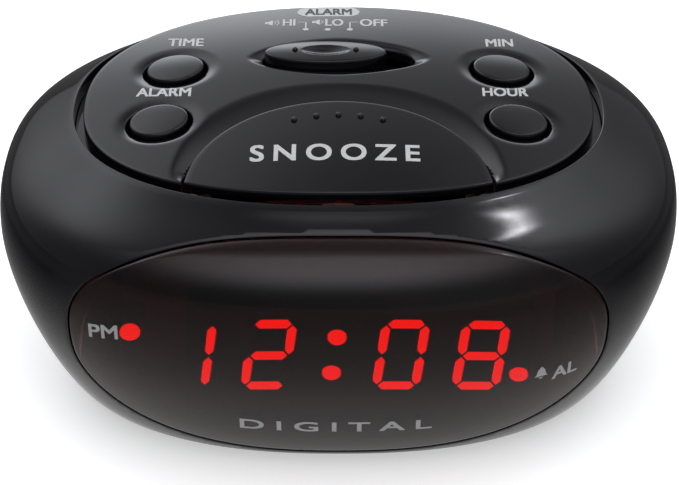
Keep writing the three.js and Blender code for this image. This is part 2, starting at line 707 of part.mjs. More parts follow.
// The front of the lens frame's inner skin, at a distance from the middle and at a height.
function frameFront(x, height) {
  const [lower] = profileCurves();
  const reach = WALL + LENS_FRAME_THICKNESS;
  let [near, far] = [0, 1];
  for (let i = 0; i < 30; i += 1) {
    const middle = (near + far) / 2;
    if (lower.getPoint(middle).y < height) near = middle;
    else far = middle;
  }
  const tangent = lower.getTangent(near);
  const tuck = lower.getPoint(near).x + reach / tangent.y;
  const share = 1 - (x / (HALF_WIDTH - tuck)) ** BODY_POWER;
  return -(HALF_DEPTH - tuck) * share ** (1 / BODY_POWER);
}

const DISPLAY_FACE = frameFront(MODULE_RIGHT, MODULE_LOW) - DISPLAY_REACH;

// ---- Base plate with the battery bay -------------------------------------------------------------
const DISPLAY_BOARD_FRONT = DISPLAY_FACE + MODULE_DEPTH + FIT;
const DISPLAY_BOARD_BACK = DISPLAY_BOARD_FRONT + BOARD_THICKNESS;
const BAY_LEFT = -BATTERY_BAY.length / 2;
const BAY_FRONT = DISPLAY_BOARD_BACK + BAY_WALL + 1;
const BAY_BACK = BAY_FRONT + BATTERY_BAY.width;
const COVER_TOP = BASE_HEIGHT + COVER_THICKNESS;
const BAY_TOP = COVER_TOP + BATTERY_BAY.height;
const HINGE_X = BAY_LEFT - COVER_MARGIN + COVER_THICKNESS / 2;
const HINGE_Z = BASE_HEIGHT + COVER_THICKNESS / 2;
const CORE_Y = BAY_BACK + BAY_WALL + 7 + CORE.stack / 2;
const BUZZER_Y = BAY_BACK + BAY_WALL + 2 + BUZZER_RADIUS;
const SLOT_COUNT = 5;

function baySpace(grow, low, high) {
  return box(BAY_LEFT - grow, -BAY_LEFT + grow, BAY_FRONT - grow, BAY_BACK + grow, low, high);
}

function boardGuides() {
  const guides = [];
  const low = BASE_TOP - 0.5;
  for (const side of [-1, 1]) {
    const x0 = side < 0 ? BAY_LEFT - BAY_WALL - 3 : -BAY_LEFT + BAY_WALL + 0.8;
    const x1 = x0 + 2.2;
    guides.push(box(x0, x1, DISPLAY_BOARD_FRONT - 2, DISPLAY_BOARD_FRONT - FIT, low, BASE_TOP + 5));
    guides.push(box(x0, x1, DISPLAY_BOARD_BACK + FIT, DISPLAY_BOARD_BACK + 2, low, BASE_TOP + 12));
  }
  return joined(guides);
}

function coreCorners() {
  const x = CORE.width / 2 + FIT;
  const y = CORE.stack / 2 + FIT;
  const low = BASE_TOP - 0.5;
  const high = BASE_TOP + 8;
  return joined(
    FOUR_CORNERS.map(([sx, sy]) => {
      const corner = (near, far, yNear, yFar) =>
        box(
          CORE_X + Math.min(sx * near, sx * far),
          CORE_X + Math.max(sx * near, sx * far),
          CORE_Y + Math.min(sy * yNear, sy * yFar),
          CORE_Y + Math.max(sy * yNear, sy * yFar),
          low,
          high,
        );
      return corner(x, x + 1.5, y - 5, y + 1.5).add(corner(x - 4, x + 1, y, y + 1.5));
    }),
  );
}

function basePlate() {
  const bayWalls = baySpace(BAY_WALL, BASE_HEIGHT + 0.5, BAY_TOP + BAY_WALL - 0.7);
  const buzzerRing = disc(BUZZER_RADIUS + 1.7, BASE_TOP - 0.5, BASE_TOP + 3, BUZZER_X, BUZZER_Y, 20).subtract(
    disc(BUZZER_RADIUS + FIT, BASE_TOP - 1, BASE_TOP + 4, BUZZER_X, BUZZER_Y, 20),
  );
  let plate = prism(bodyOutline(BASE_OPENING + FIT), BASE_HEIGHT, BASE_TOP).add(bayWalls);
  plate = plate.add(boardGuides()).add(coreCorners()).add(buzzerRing);
  plate = plate.subtract(baySpace(0, 0, BAY_TOP)).subtract(baySpace(COVER_MARGIN + FIT, 0, COVER_TOP + FIT));
  const pin = COVER_PIN_RADIUS + FIT;
  const pinReach = COVER_MARGIN + 1.6;
  const [pinFront, pinBack] = [BAY_FRONT - pinReach, BAY_BACK + pinReach];
  plate = plate.subtract(box(HINGE_X - pin, HINGE_X + pin, pinFront, pinBack, 0, HINGE_Z + pin));
  const latch = -BAY_LEFT + COVER_MARGIN;
  const middle = (BAY_FRONT + BAY_BACK) / 2;
  plate = plate.subtract(box(latch - 1, latch + 3.6, middle - 5, middle + 5, 0, BASE_HEIGHT + 1.1));
  const headTop = BASE_HEIGHT + SCREW_HEAD_HEIGHT + 0.2;
  for (const [sx, sy] of FOUR_CORNERS) {
    plate = plate
      .subtract(disc(SCREW_RADIUS + FIT, 0, 9, sx * POST_X, sy * POST_Y, 8))
      .subtract(disc(SCREW_HEAD_RADIUS + FIT, 0, headTop, sx * POST_X, sy * POST_Y, 12))
      .subtract(disc(FOOT_RADIUS + FIT, 0, BASE_HEIGHT + FOOT_RECESS, sx * FOOT_X, sy * FOOT_Y, 18));
  }
  for (let i = 0; i < SLOT_COUNT; i += 1) {
    const x = BUZZER_X + (i - (SLOT_COUNT - 1) / 2) * 2.6;
    plate = plate.subtract(box(x - 0.6, x + 0.6, BUZZER_Y - 4, BUZZER_Y + 4, 0, 9));
  }
  return plate;
}

function batteryCover() {
  const left = HINGE_X;
  const right = -BAY_LEFT + COVER_MARGIN;
  const front = BAY_FRONT - COVER_MARGIN;
  const back = BAY_BACK + COVER_MARGIN;
  const plate = box(left, right, front, back, BASE_HEIGHT, COVER_TOP);
  const rod = (radius, y0, y1) => {
    const geometry = new THREE.CylinderGeometry(radius, radius, y1 - y0, 12);
    geometry.translate(HINGE_X, (y0 + y1) / 2, HINGE_Z);
    return solid(geometry);
  };
  const grip = box(right - 5, right - 3.6, front + 8, back - 8, BASE_HEIGHT - 1, BASE_HEIGHT + 0.6);
  return plate
    .add(rod(COVER_THICKNESS / 2, front, back))
    .add(rod(COVER_PIN_RADIUS, front - 1.2, back + 1.2))
    .subtract(grip);
}

function contactPlate() {
  const x = -BAY_LEFT - FIT;
  const middle = (BAY_FRONT + BAY_BACK) / 2;
  const plate = box(x - 1.4, x, BAY_FRONT + 1.5, BAY_BACK - 1.5, COVER_TOP + 1, BAY_TOP - 1);
  const stud = (y, radius) => {
    const geometry = new THREE.CylinderGeometry(radius, radius, 2.2, 12);
    geometry.rotateZ(Math.PI / 2);
    geometry.translate(x - 2.2, y, (COVER_TOP + BAY_TOP) / 2);
    return solid(geometry);
  };
  return plate.add(stud(middle - 6.35, 2.8)).add(stud(middle + 6.35, 3.8));
}

addPiece("base_plate", basePlate(), SATIN_BLACK);
addPiece("battery_cover", batteryCover(), SATIN_BLACK);
addPiece("battery_contact_plate", contactPlate(), SATIN_BLACK);
FOUR_CORNERS.forEach(([sx, sy], i) => {
  const foot = disc(FOOT_RADIUS, 0, BASE_HEIGHT + FOOT_RECESS - 0.05, sx * FOOT_X, sy * FOOT_Y, 18);
  addPiece(`foot_${i + 1}`, foot, RUBBER);
});
FOUR_CORNERS.forEach(([sx, sy], i) => {
  const seat = BASE_HEIGHT + SCREW_HEAD_HEIGHT + 0.15;
  const [x, y] = [sx * POST_X, sy * POST_Y];
  const screw = screwUp(x, y, seat, 9, SCREW_RADIUS, SCREW_HEAD_RADIUS, SCREW_HEAD_HEIGHT);
  addPiece(`case_screw_${i + 1}`, screw, STEEL);
});

// ---- Display -------------------------------------------------------------------------------------
// The segments of a seven-segment figure: a top, b and c right, d bottom, e and f left, g middle.
const FIGURES = { 0: "abcdef", 1: "bc", 2: "abged", 8: "abcdefg" };
const ALL_SEGMENTS = "abcdefg";
const SEGMENT_GAP = 0.35;
const PM_DOT = { x: -38.9, z: DISPLAY_CENTRE_Z + 5.2 };
const COLON_RADIUS = 1.7;
const COLON_RISE = 3.7;

function barOutline(x0, z0, x1, z1, grow) {
  const half = SEGMENT_WIDTH / 2 + grow;
  const along = new THREE.Vector2(x1 - x0, z1 - z0).normalize();
  const across = new THREE.Vector2(-along.y, along.x).multiplyScalar(half);
  const end = SEGMENT_GAP / 1.5 - grow * 0.7;
  const a = new THREE.Vector2(x0, z0).addScaledVector(along, end);
  const b = new THREE.Vector2(x1, z1).addScaledVector(along, -end);
  const a2 = a.clone().addScaledVector(along, half);
  const b2 = b.clone().addScaledVector(along, -half);
  const lowSide = [a2.clone().sub(across), b2.clone().sub(across)];
  const highSide = [b2.clone().add(across), a2.clone().add(across)];
  return [a, ...lowSide, b, ...highSide];
}

function segmentOutline(segment, centreX, grow = 0) {
  const w = (DIGIT_WIDTH - SEGMENT_WIDTH) / 2;
  const h = (DIGIT_HEIGHT - SEGMENT_WIDTH) / 2;
  const ends = {
    a: [-w, h, w, h],
    b: [w, 0, w, h],
    c: [w, -h, w, 0],
    d: [-w, -h, w, -h],
    e: [-w, -h, -w, 0],
    f: [-w, 0, -w, h],
    g: [-w, 0, w, 0],
  }[segment];
  const outline = barOutline(...ends, grow);
  return outline.map((p) => new THREE.Vector2(centreX + p.x + p.y * DIGIT_SLANT, DISPLAY_CENTRE_Z + p.y));
}

function circleXZ(radius, x, z) {
  return circle(radius, 12, x, z);
}

// Every light window of the module: the first figure has only its right-hand bars.
function windowOutlines(grow) {
  const outlines = DIGIT_CENTRES.flatMap((centre, i) =>
    [...(i === 0 ? FIGURES[1] : ALL_SEGMENTS)].map((segment) => segmentOutline(segment, centre, grow)),
  );
  for (const side of [-1, 1]) {
    const z = side * COLON_RISE;
    outlines.push(circleXZ(COLON_RADIUS + grow, COLON_X + z * DIGIT_SLANT, DISPLAY_CENTRE_Z + z));
  }
  outlines.push(circleXZ(INDICATOR_RADIUS + grow, ALARM_DOT.x, ALARM_DOT.z));
  return outlines;
}

const EPOXY_DEPTH = 3;
const MODULE_WALL = 1;

function ledHousing() {
  const back = DISPLAY_FACE + MODULE_DEPTH;
  const block = box(MODULE_LEFT, MODULE_RIGHT, DISPLAY_FACE, back, MODULE_LOW, MODULE_HIGH);
  const [left, right] = [MODULE_LEFT + MODULE_WALL, MODULE_RIGHT - MODULE_WALL];
  const [low, high] = [MODULE_LOW + MODULE_WALL, MODULE_HIGH - MODULE_WALL];
  const pocket = box(left, right, back - EPOXY_DEPTH, back + 1, low, high);
  const windows = windowOutlines(0.15).map((outline) => slabXZ(outline, DISPLAY_FACE - 1, back - 1));
  return block.subtract(pocket).subtract(joined(windows));
}

// Clear red epoxy fills the housing from behind and reaches the face through every window.
function ledEpoxy() {
  const back = DISPLAY_FACE + MODULE_DEPTH;
  const inset = MODULE_WALL + FIT;
  const slab = box(
    MODULE_LEFT + inset,
    MODULE_RIGHT - inset,
    back - EPOXY_DEPTH + FIT,
    back,
    MODULE_LOW + inset,
    MODULE_HIGH - inset,
  );
  const lights = windowOutlines(-0.15).map((outline) => slabXZ(outline, DISPLAY_FACE, back - 1));
  return slab.add(joined(lights));
}

function displayBoard() {
  const narrow = -BAY_LEFT + BAY_WALL + 5;
  const wide = 41;
  const low = BASE_TOP + FIT;
  const outline = [
    new THREE.Vector2(-narrow, low),
    new THREE.Vector2(narrow, low),
    new THREE.Vector2(wide, low + 13),
    new THREE.Vector2(wide, 38),
    new THREE.Vector2(-wide, 38),
    new THREE.Vector2(-wide, low + 13),
  ];
  return slabXZ(outline, DISPLAY_BOARD_FRONT, DISPLAY_BOARD_BACK);
}

function alongY(radius, front, back, x, z, sides = 12) {
  const geometry = new THREE.CylinderGeometry(radius, radius, back - front, sides);
  geometry.translate(x, (front + back) / 2, z);
  return solid(geometry);
}

// A round lamp on its own stand-off, level with the module's face.
function singleLed() {
  const dome = new THREE.SphereGeometry(INDICATOR_RADIUS, 12, 6);
  dome.translate(PM_DOT.x, DISPLAY_FACE + INDICATOR_RADIUS, PM_DOT.z);
  const front = DISPLAY_FACE + INDICATOR_RADIUS;
  const back = DISPLAY_BOARD_FRONT - 0.1;
  return solid(dome)
    .add(alongY(INDICATOR_RADIUS, front, back, PM_DOT.x, PM_DOT.z))
    .add(alongY(INDICATOR_RADIUS + 0.5, back - 1, back, PM_DOT.x, PM_DOT.z));
}

function clockChip() {
  const front = DISPLAY_BOARD_BACK + 0.9;
  let chip = box(-21, 15, front, front + 3.4, 27, 35);
  for (let i = 0; i < 8; i += 1) {
    const x = -18.75 + i * 4.5;
    for (const [z0, z1] of [
      [26.2, 27.5],
      [34.5, 35.8],
    ]) {
      chip = chip.add(box(x - 0.3, x + 0.3, DISPLAY_BOARD_BACK, front + 1.8, z0, z1));
    }
  }
  return chip;
}

function ribbonCable() {
  const from = DISPLAY_BOARD_BACK + 0.1;
  const to = KEY_BOARD_FRONT + 3;
  const top = KEY_BOARD_LOW - 0.1;
  const thick = 0.9;
  const side = [
    [from, 33],
    [from + thick, 33],
    [from + thick, 36],
    [to, top - 2.5],
    [to, top],
    [to - thick, top],
    [to - thick, top - 2.1],
    [from, 36.5],
  ];
  const shape = new THREE.Shape(side.map(([y, z]) => new THREE.Vector2(y, z)));
  const geometry = new THREE.ExtrudeGeometry(shape, { depth: 16, bevelEnabled: false });
  geometry.rotateX(Math.PI / 2);
  geometry.rotateZ(Math.PI / 2);
  geometry.translate(18, 0, 0);
  return solid(geometry);
}

addPiece("led_housing", ledHousing(), SATIN_BLACK);
addPiece("led_epoxy", ledEpoxy(), RED);
addPiece("pm_led", singleLed(), RED);
addPiece("display_board", displayBoard(), BOARD_TAN);
addPiece("clock_chip", clockChip(), SATIN_BLACK);
const capacitor = alongY(5, DISPLAY_BOARD_BACK + 0.1, DISPLAY_BOARD_BACK + 16, -34, 28);
addPiece("smoothing_capacitor", capacitor, SATIN_BLACK);
addPiece("ribbon_cable", ribbonCable(), GREY);

// ---- Transformer, buzzer and cord bushing --------------------------------------------------------
const CORE_LOW = BASE_TOP + FIT;
const CORE_MIDDLE = CORE_LOW + CORE.height / 2;

function transformerCore() {
  const top = CORE_LOW + CORE.height;
  const [halfX, halfY] = [CORE.width / 2, CORE.stack / 2];
  const block = box(CORE_X - halfX, CORE_X + halfX, CORE_Y - halfY, CORE_Y + halfY, CORE_LOW, top);
  const yoke = (CORE.width - CORE.leg - 2 * CORE.window) / 2;
  const windows = [-1, 1].map((side) => {
    const centre = CORE_X + side * (CORE.leg + CORE.window) / 2;
    const half = CORE.window / 2;
    return box(centre - half, centre + half, CORE_Y - 30, CORE_Y + 30, CORE_LOW + yoke, top - yoke);
  });
  return block.subtract(joined(windows));
}

function transformerCoil() {
  const yoke = (CORE.width - CORE.leg - 2 * CORE.window) / 2;
  const half = CORE.height / 2 - yoke - FIT;
  const outer = box(
    CORE_X - CORE.leg / 2 - CORE.window + FIT,
    CORE_X + CORE.leg / 2 + CORE.window - FIT,
    CORE_Y - CORE.stack / 2 - 5,
    CORE_Y + CORE.stack / 2 + 5,
    CORE_MIDDLE - half,
    CORE_MIDDLE + half,
  );
  const x = CORE.leg / 2 + FIT;
  const y = CORE.stack / 2 + FIT;
  return outer.subtract(box(CORE_X - x, CORE_X + x, CORE_Y - y, CORE_Y + y, 0, 60));
}

function buzzerHousing() {
  const low = BASE_TOP + 0.05;
  const profile = [
    [BUZZER_RADIUS - 1.2, 0],
    [BUZZER_RADIUS, 0],
    [BUZZER_RADIUS, 7],
    [0, 7],
    [0, 5.8],
    [BUZZER_RADIUS - 1.2, 5.8],
    [BUZZER_RADIUS - 1.2, 0],
  ];
  const geometry = new THREE.LatheGeometry(profile.map(([r, z]) => new THREE.Vector2(r, z)), 20);
  geometry.rotateX(Math.PI / 2);
  geometry.translate(BUZZER_X, BUZZER_Y, low);
  return solid(geometry);
}

function bushing() {
  const profile = [
    [BUSHING_BORE, -5.4],
    [BUSHING_BORE + 3.2, -5.4],
    [BUSHING_BORE + 3.2, -4],
    [BUSHING_BORE + 1.7, -4],
    [BUSHING_BORE + 1.7, 0.4],
    [BUSHING_BORE + 3.4, 0.4],
    [BUSHING_BORE + 2.4, 2],
    [BUSHING_BORE, 2],
    [BUSHING_BORE, -5.4],
  ];
  const geometry = new THREE.LatheGeometry(profile.map(([r, z]) => new THREE.Vector2(r, z)), 14);
  return atBushing(geometry.rotateX(Math.PI / 2));
}

addPiece("transformer_core", transformerCore(), LAMINATION);
addPiece("transformer_coil", transformerCoil(), COPPER);
addPiece("buzzer_housing", buzzerHousing(), SATIN_BLACK);
addPiece("buzzer_disc", disc(BUZZER_RADIUS - 1.6, BASE_TOP + 3, BASE_TOP + 3.6, BUZZER_X, BUZZER_Y), COPPER);
addPiece("cord_bushing", bushing(), RUBBER);

export default group;
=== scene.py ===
import math
from bisect import bisect_left

import bmesh
import bpy
from mathutils import Matrix, Vector
from mathutils.bvhtree import BVHTree


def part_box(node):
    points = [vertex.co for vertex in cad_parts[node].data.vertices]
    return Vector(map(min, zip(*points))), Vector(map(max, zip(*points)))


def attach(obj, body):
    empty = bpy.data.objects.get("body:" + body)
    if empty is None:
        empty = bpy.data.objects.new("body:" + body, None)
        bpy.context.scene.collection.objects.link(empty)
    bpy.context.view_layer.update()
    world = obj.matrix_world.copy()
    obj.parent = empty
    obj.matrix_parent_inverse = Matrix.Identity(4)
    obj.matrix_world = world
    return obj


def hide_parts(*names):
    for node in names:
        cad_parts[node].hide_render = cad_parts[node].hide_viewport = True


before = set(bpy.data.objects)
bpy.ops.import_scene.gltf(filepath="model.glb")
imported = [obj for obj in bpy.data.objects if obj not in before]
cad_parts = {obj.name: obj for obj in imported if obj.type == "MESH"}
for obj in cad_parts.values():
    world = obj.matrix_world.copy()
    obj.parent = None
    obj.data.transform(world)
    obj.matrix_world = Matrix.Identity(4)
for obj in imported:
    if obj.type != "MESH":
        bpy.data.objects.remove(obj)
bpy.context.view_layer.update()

# ---- Case shell --------------------------------------------------------------------------------
# One deep body of black ABS, injection moulded in a mirror-polished tool, wider than it is tall.
# Its plan is a rounded superellipse; the wall rolls over a shoulder into the channel round the
# key panel, and the window for the lens is cut into its front with a rolled edge.
MM = 0.001
HALF_WIDTH, HALF_DEPTH, BODY_POWER = 67.0, 55.5, 2.33
BASE_TUCK, BASE_HEIGHT, WIDEST_HEIGHT = 12.0, 1.8, 35.0
SHOULDER_TUCK, SHOULDER_HEIGHT, SHOULDER_STRETCH = 14.8, 54.2, 1.04
TOP_SHIFT, TOP_SLOPE, WALL = 1.6, 0.025, 2.4
LOWER_WALL = ((12, 1.8), (7.56, 6.448), (0, 24.708), (0, 35))
UPPER_WALL = ((0, 35), (0, 46.712), (2.96, 46.712), (14.8, 54.2))
LENS_HALF_WIDTH, LENS_HALF_HEIGHT, LENS_CENTRE, LENS_POWER = 50.7, 23.4, 26.5, 2.65


def wall_point(curve, t):
    s = 1 - t
    shares = (s**3, 3 * s * s * t, 3 * s * t * t, t**3)
    return [sum(share * point[k] for share, point in zip(shares, curve)) for k in (0, 1)]


def wall_offset(curve, t, inward):
    tuck, height = wall_point(curve, t)
    ahead, behind = wall_point(curve, min(t + 0.01, 1)), wall_point(curve, max(t - 0.01, 0))
    along = Vector((ahead[0] - behind[0], ahead[1] - behind[1])).normalized()
    return tuck + along.y * inward, height - along.x * inward


def rounded(value, power):
    return math.copysign(abs(value) ** (2 / power), value)


def top_blend(height):
    u = min(max((height - WIDEST_HEIGHT) / (SHOULDER_HEIGHT - WIDEST_HEIGHT), 0), 1)
    return u * u * (3 - 2 * u)


def body_point(turn, tuck, height, lift=0.0):
    stretch = SHOULDER_STRETCH if height > WIDEST_HEIGHT else 1
    x = (HALF_WIDTH - tuck) * rounded(math.cos(turn), BODY_POWER)
    y = (HALF_DEPTH - tuck * stretch) * rounded(math.sin(turn), BODY_POWER)
    blend = top_blend(height)
    return Vector((x, y + TOP_SHIFT * blend, height + lift + TOP_SLOPE * y * blend))


def ring_solid(rings, count, hollow=False):
    """A circle drawn out ring by ring; each ring is a rule that places a point by its turn."""
    bm = bmesh.new()
    turn = bm.verts.layers.float.new("turn")
    bmesh.ops.create_circle(bm, segments=count, radius=1, cap_ends=False)
    for vert in bm.verts:
        vert[turn] = math.atan2(vert.co.y, vert.co.x)
        vert.co = rings[0](vert[turn])
    first = edges = bm.edges[:]
    for ring in rings[1:]:
        grown = bmesh.ops.extrude_edge_only(bm, edges=edges)["geom"]
        fresh = {g for g in grown if isinstance(g, bmesh.types.BMVert)}
        for vert in fresh:
            vert.co = ring(vert[turn])
        edges = [
            g for g in grown if isinstance(g, bmesh.types.BMEdge) and set(g.verts) <= fresh
        ]
    if hollow:
        bmesh.ops.bridge_loops(bm, edges=first + edges)
    else:
        bmesh.ops.edgeloop_fill(bm, edges=first)
        bmesh.ops.edgeloop_fill(bm, edges=edges)
    bmesh.ops.recalc_face_normals(bm, faces=bm.faces)
    return bm


def as_object(name, bm):
    bmesh.ops.scale(bm, vec=(MM, MM, MM), verts=bm.verts)
    mesh = bpy.data.meshes.new(name)
    bm.to_mesh(mesh)
    bm.free()
    made = bpy.data.objects.new(name, mesh)
    bpy.context.scene.collection.objects.link(made)
    return made


def carve(piece, cutters):
    for cutter in cutters:
        cut = piece.modifiers.new("cut", "BOOLEAN")
        cut.operation, cut.solver, cut.object = "DIFFERENCE", "EXACT", cutter
    seen = piece.evaluated_get(bpy.context.evaluated_depsgraph_get())
    mesh = bpy.data.meshes.new_from_object(seen)
    piece.modifiers.clear()
    piece.data = mesh
    for cutter in cutters:
        bpy.data.objects.remove(cutter)


def fit_out(piece, material, body, nodes=(), crease=30):
    """Smooths a finished piece, gives it its finish and hangs it on its body."""
    piece.data.shade_smooth()
    piece.data.set_sharp_from_angle(angle=math.radians(crease))
    piece.data.materials.clear()
    piece.data.materials.append(material)
    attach(piece, body)
    if nodes:
        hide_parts(*nodes)
    return piece


def lens_rim(turn, reach):
    x = (LENS_HALF_WIDTH + reach) * rounded(math.cos(turn), LENS_POWER)
    z = LENS_CENTRE + (LENS_HALF_HEIGHT + reach) * rounded(math.sin(turn), LENS_POWER)
    return x, z


wall_table = sorted(
    (wall_point(curve, i / 200)[1], wall_point(curve, i / 200)[0])
    for curve in (LOWER_WALL, UPPER_WALL)
    for i in range(201)
)
wall_heights = [row[0] for row in wall_table]


def tuck_at(height):
    i = min(max(bisect_left(wall_heights, height), 1), len(wall_table) - 1)
    (low, near), (high, far) = wall_table[i - 1], wall_table[i]
    share = 0 if high == low else min(max((height - low) / (high - low), 0), 1)
    return near + (far - near) * share


def front_y(x, z):
    """Where the shell's front lies at a given place across and up."""
    height = z
    for _ in range(4):
        tuck = tuck_at(height)
        stretch = SHOULDER_STRETCH if height > WIDEST_HEIGHT else 1
        across = min(abs(x) / (HALF_WIDTH - tuck), 0.999)
        y = -(HALF_DEPTH - tuck * stretch) * (1 - across**BODY_POWER) ** (1 / BODY_POWER)
        height = z - TOP_SLOPE * y * top_blend(height)
    return y + TOP_SHIFT * top_blend(height)


def on_front(reach, depth):
    def place(turn):
        x, z = lens_rim(turn, reach)
        return Vector((x, front_y(x, z) + depth, z))

    return place


def window_end(reach, y):
    def place(turn):
        x, z = lens_rim(turn, reach)
        return Vector((x, y, z))

    return place


def at_wall(tuck, height, lift=0.0):
    return lambda turn: body_point(turn, tuck, height, lift)


def noise_map(nodes, links, scale, detail, low, high):
    """A fine noise on the piece's own coordinates, mapped to a narrow range of values."""
    place = nodes.new("ShaderNodeTexCoord")
    noise = nodes.new("ShaderNodeTexNoise")
    noise.inputs["Scale"].default_value = scale
    noise.inputs["Detail"].default_value = detail
    spread = nodes.new("ShaderNodeMapRange")
    spread.inputs["From Min"].default_value = 0.3
    spread.inputs["From Max"].default_value = 0.7
    spread.inputs["To Min"].default_value = low
    spread.inputs["To Max"].default_value = high
    links.new(place.outputs["Object"], noise.inputs["Vector"])
    links.new(noise.outputs["Fac"], spread.inputs["Value"])
    return spread.outputs["Result"]


def moulded(name, dark, light, gloss, grain, bump, metallic=0.0, ior=1.5):
    """A moulded or plated finish: two near shades, a range of roughness and a fine relief."""
    material = bpy.data.materials.new(name)
    material.use_nodes = True
    nodes, links = material.node_tree.nodes, material.node_tree.links
    shader = nodes["Principled BSDF"]
    shader.inputs["Metallic"].default_value = metallic
    shader.inputs["IOR"].default_value = ior
    tone = nodes.new("ShaderNodeMix")
    tone.data_type = "RGBA"
    tone.inputs["A"].default_value = (*dark, 1)
    tone.inputs["B"].default_value = (*light, 1)
    links.new(noise_map(nodes, links, grain * 0.2, 3, 0, 1), tone.inputs["Factor"])
    links.new(tone.outputs["Result"], shader.inputs["Base Color"])
    links.new(noise_map(nodes, links, grain, 4, *gloss), shader.inputs["Roughness"])
    relief = nodes.new("ShaderNodeBump")
    relief.inputs["Strength"].default_value = bump[0]
    relief.inputs["Distance"].default_value = bump[1]
    links.new(noise_map(nodes, links, grain * 1.6, 2, 0, 1), relief.inputs["Height"])
    links.new(relief.outputs["Normal"], shader.inputs["Normal"])
    return material


gloss_black = moulded(
    "polished_black_abs", (0.0035, 0.0033, 0.0048), (0.005, 0.0047, 0.0062), (0.045, 0.075),
    420, (0.03, 2e-5),
)
CHANNEL_DEPTH, CHANNEL_LIP, LEDGE_THICKNESS, LEDGE_WIDTH, BASE_LIP = 3.0, 0.4, 2.2, 5.0, 2.6
shell_rings = [at_wall(BASE_TUCK + BASE_LIP, BASE_HEIGHT), at_wall(BASE_TUCK + 0.5, BASE_HEIGHT)]
shell_rings += [at_wall(BASE_TUCK + 0.12, BASE_HEIGHT + 0.08)]
shell_rings += [at_wall(*wall_point(LOWER_WALL, 0.012 + 0.988 * i / 26)) for i in range(27)]
shell_rings += [at_wall(*wall_point(UPPER_WALL, i / 34)) for i in range(1, 34)]
for tuck, lift in ((0.0, -0.05), (0.14, 0.0), (0.26, -0.02), (0.36, -0.1), (0.4, -0.26)):
    shell_rings.append(at_wall(SHOULDER_TUCK + tuck, SHOULDER_HEIGHT, lift))
for tuck, lift in (
    (CHANNEL_LIP + 0.02, -CHANNEL_DEPTH + 0.2),
    (CHANNEL_LIP + 0.2, -CHANNEL_DEPTH),
    (LEDGE_WIDTH, -CHANNEL_DEPTH),
    (LEDGE_WIDTH, -CHANNEL_DEPTH - LEDGE_THICKNESS),
    (WALL, -CHANNEL_DEPTH - LEDGE_THICKNESS),
):
    shell_rings.append(at_wall(SHOULDER_TUCK + tuck, SHOULDER_HEIGHT, lift))
shell_rings += [at_wall(*wall_offset(UPPER_WALL, 1 - i / 10, WALL)) for i in range(3, 11)]
shell_rings += [at_wall(*wall_offset(LOWER_WALL, 1 - i / 10, WALL)) for i in range(1, 9)]
shell_rings += [at_wall(BASE_TUCK + BASE_LIP, BASE_HEIGHT + WALL)]
case_shell = as_object("case_shell_body", ring_solid(shell_rings, 288, hollow=True))
WINDOW_ROLL = ((0, 0.5), (0.05, 0.22), (0.18, 0.08), (0.38, 0.01), (0.8, -0.18))
lens_window = [window_end(0, -20)] + [on_front(*step) for step in WINDOW_ROLL] + [window_end(0.8, -70)]
carve(case_shell, [as_object("lens_window_cutter", ring_solid(lens_window, 240))])
fit_out(case_shell, gloss_black, "case", ["case_shell"])

# ---- Front lens --------------------------------------------------------------------------------
# A window of smoked acrylic, moulded to the front's double curve and set flush with it.
# It snaps in from the front and leaves a hairline gap all round.
FIT, LENS_THICKNESS = 0.3, 1.8


def smoked_acrylic():
    material = bpy.data.materials.new("smoked_acrylic")
    material.use_nodes = True
    nodes, links = material.node_tree.nodes, material.node_tree.links
    shader = nodes["Principled BSDF"]
    shader.inputs["Base Color"].default_value = (0.1, 0.035, 0.035, 1)
    shader.inputs["Transmission Weight"].default_value = 1.0
    shader.inputs["IOR"].default_value = 1.49
    links.new(noise_map(nodes, links, 60, 3, 0.0, 0.012), shader.inputs["Roughness"])
    return material


def lens_skin(share, depth):
    def place(turn):
        x, z = lens_rim(turn, -FIT - 0.6)
        x, z = x * share, LENS_CENTRE + (z - LENS_CENTRE) * share
        return Vector((x, front_y(x, z) + depth, z))

    return place


LENS_SHARES = [0.02, 0.06] + [i / 24 for i in range(3, 25)]
lens_rings = [lens_skin(share, LENS_THICKNESS) for share in LENS_SHARES]
lens_rings += [
    on_front(-FIT - inset, depth)
    for inset, depth in ((0, LENS_THICKNESS), (0, 0.4), (0.04, 0.2), (0.15, 0.06), (0.34, 0.01))
]
lens_rings += [lens_skin(share, 0) for share in reversed(LENS_SHARES)]
front_lens = as_object("front_lens_window", ring_solid(lens_rings, 240))
fit_out(front_lens, smoked_acrylic(), "case", ["front_lens"], 40)

# ---- Key panel ---------------------------------------------------------------------------------
# A low dome of the same black ABS that drops into the channel and carries the keys. Soft dishes
# surround each key and the oval switch, and a crescent is scooped out behind the snooze bar.
PANEL_HALF_WIDTH, PANEL_HALF_DEPTH = 50.0, 37.408
PANEL_HEIGHT, PANEL_SLOPE, PANEL_RADIUS, PANEL_THICKNESS = 58.3, 0.055, 350.0, 2.4
KEY_RADIUS, KEY_HOLE_RADIUS, KEY_DISH, KEY_DISH_DEPTH = 5.65, 6.45, 2.9, 0.5
KEYS = {
    "time_key": (-32.6, 11.2),
    "alarm_key": (-34.6, -9.2),
    "minute_key": (32.6, 11.2),
    "hour_key": (34.6, -9.2),
}
BAR_RADIUS, BAR_CENTRE_Y, BAR_GAP = 28.8, -33.808, 0.5
SCOOP_Y, SCOOP_HALF_X, SCOOP_HALF_Y, SCOOP_POWER = -30.0, 31.2, 32.4, 2.3
SCOOP_DEPTH, SCOOP_EASE, SCOOP_FADE = 1.6, 1.4, 12
TRACK_DISH_X, TRACK_DISH_Y, TRACK_DISH_POWER, TRACK_DISH_DEPTH, TRACK_EASE = 18.4, 8.3, 1.6, 0.9, 1.3
KNOB_Y, KNOB_HALF_LENGTH, KNOB_HALF_WIDTH, KNOB_TRAVEL, SLIP = 13.8, 12.2, 4.9, 5.2, 0.4


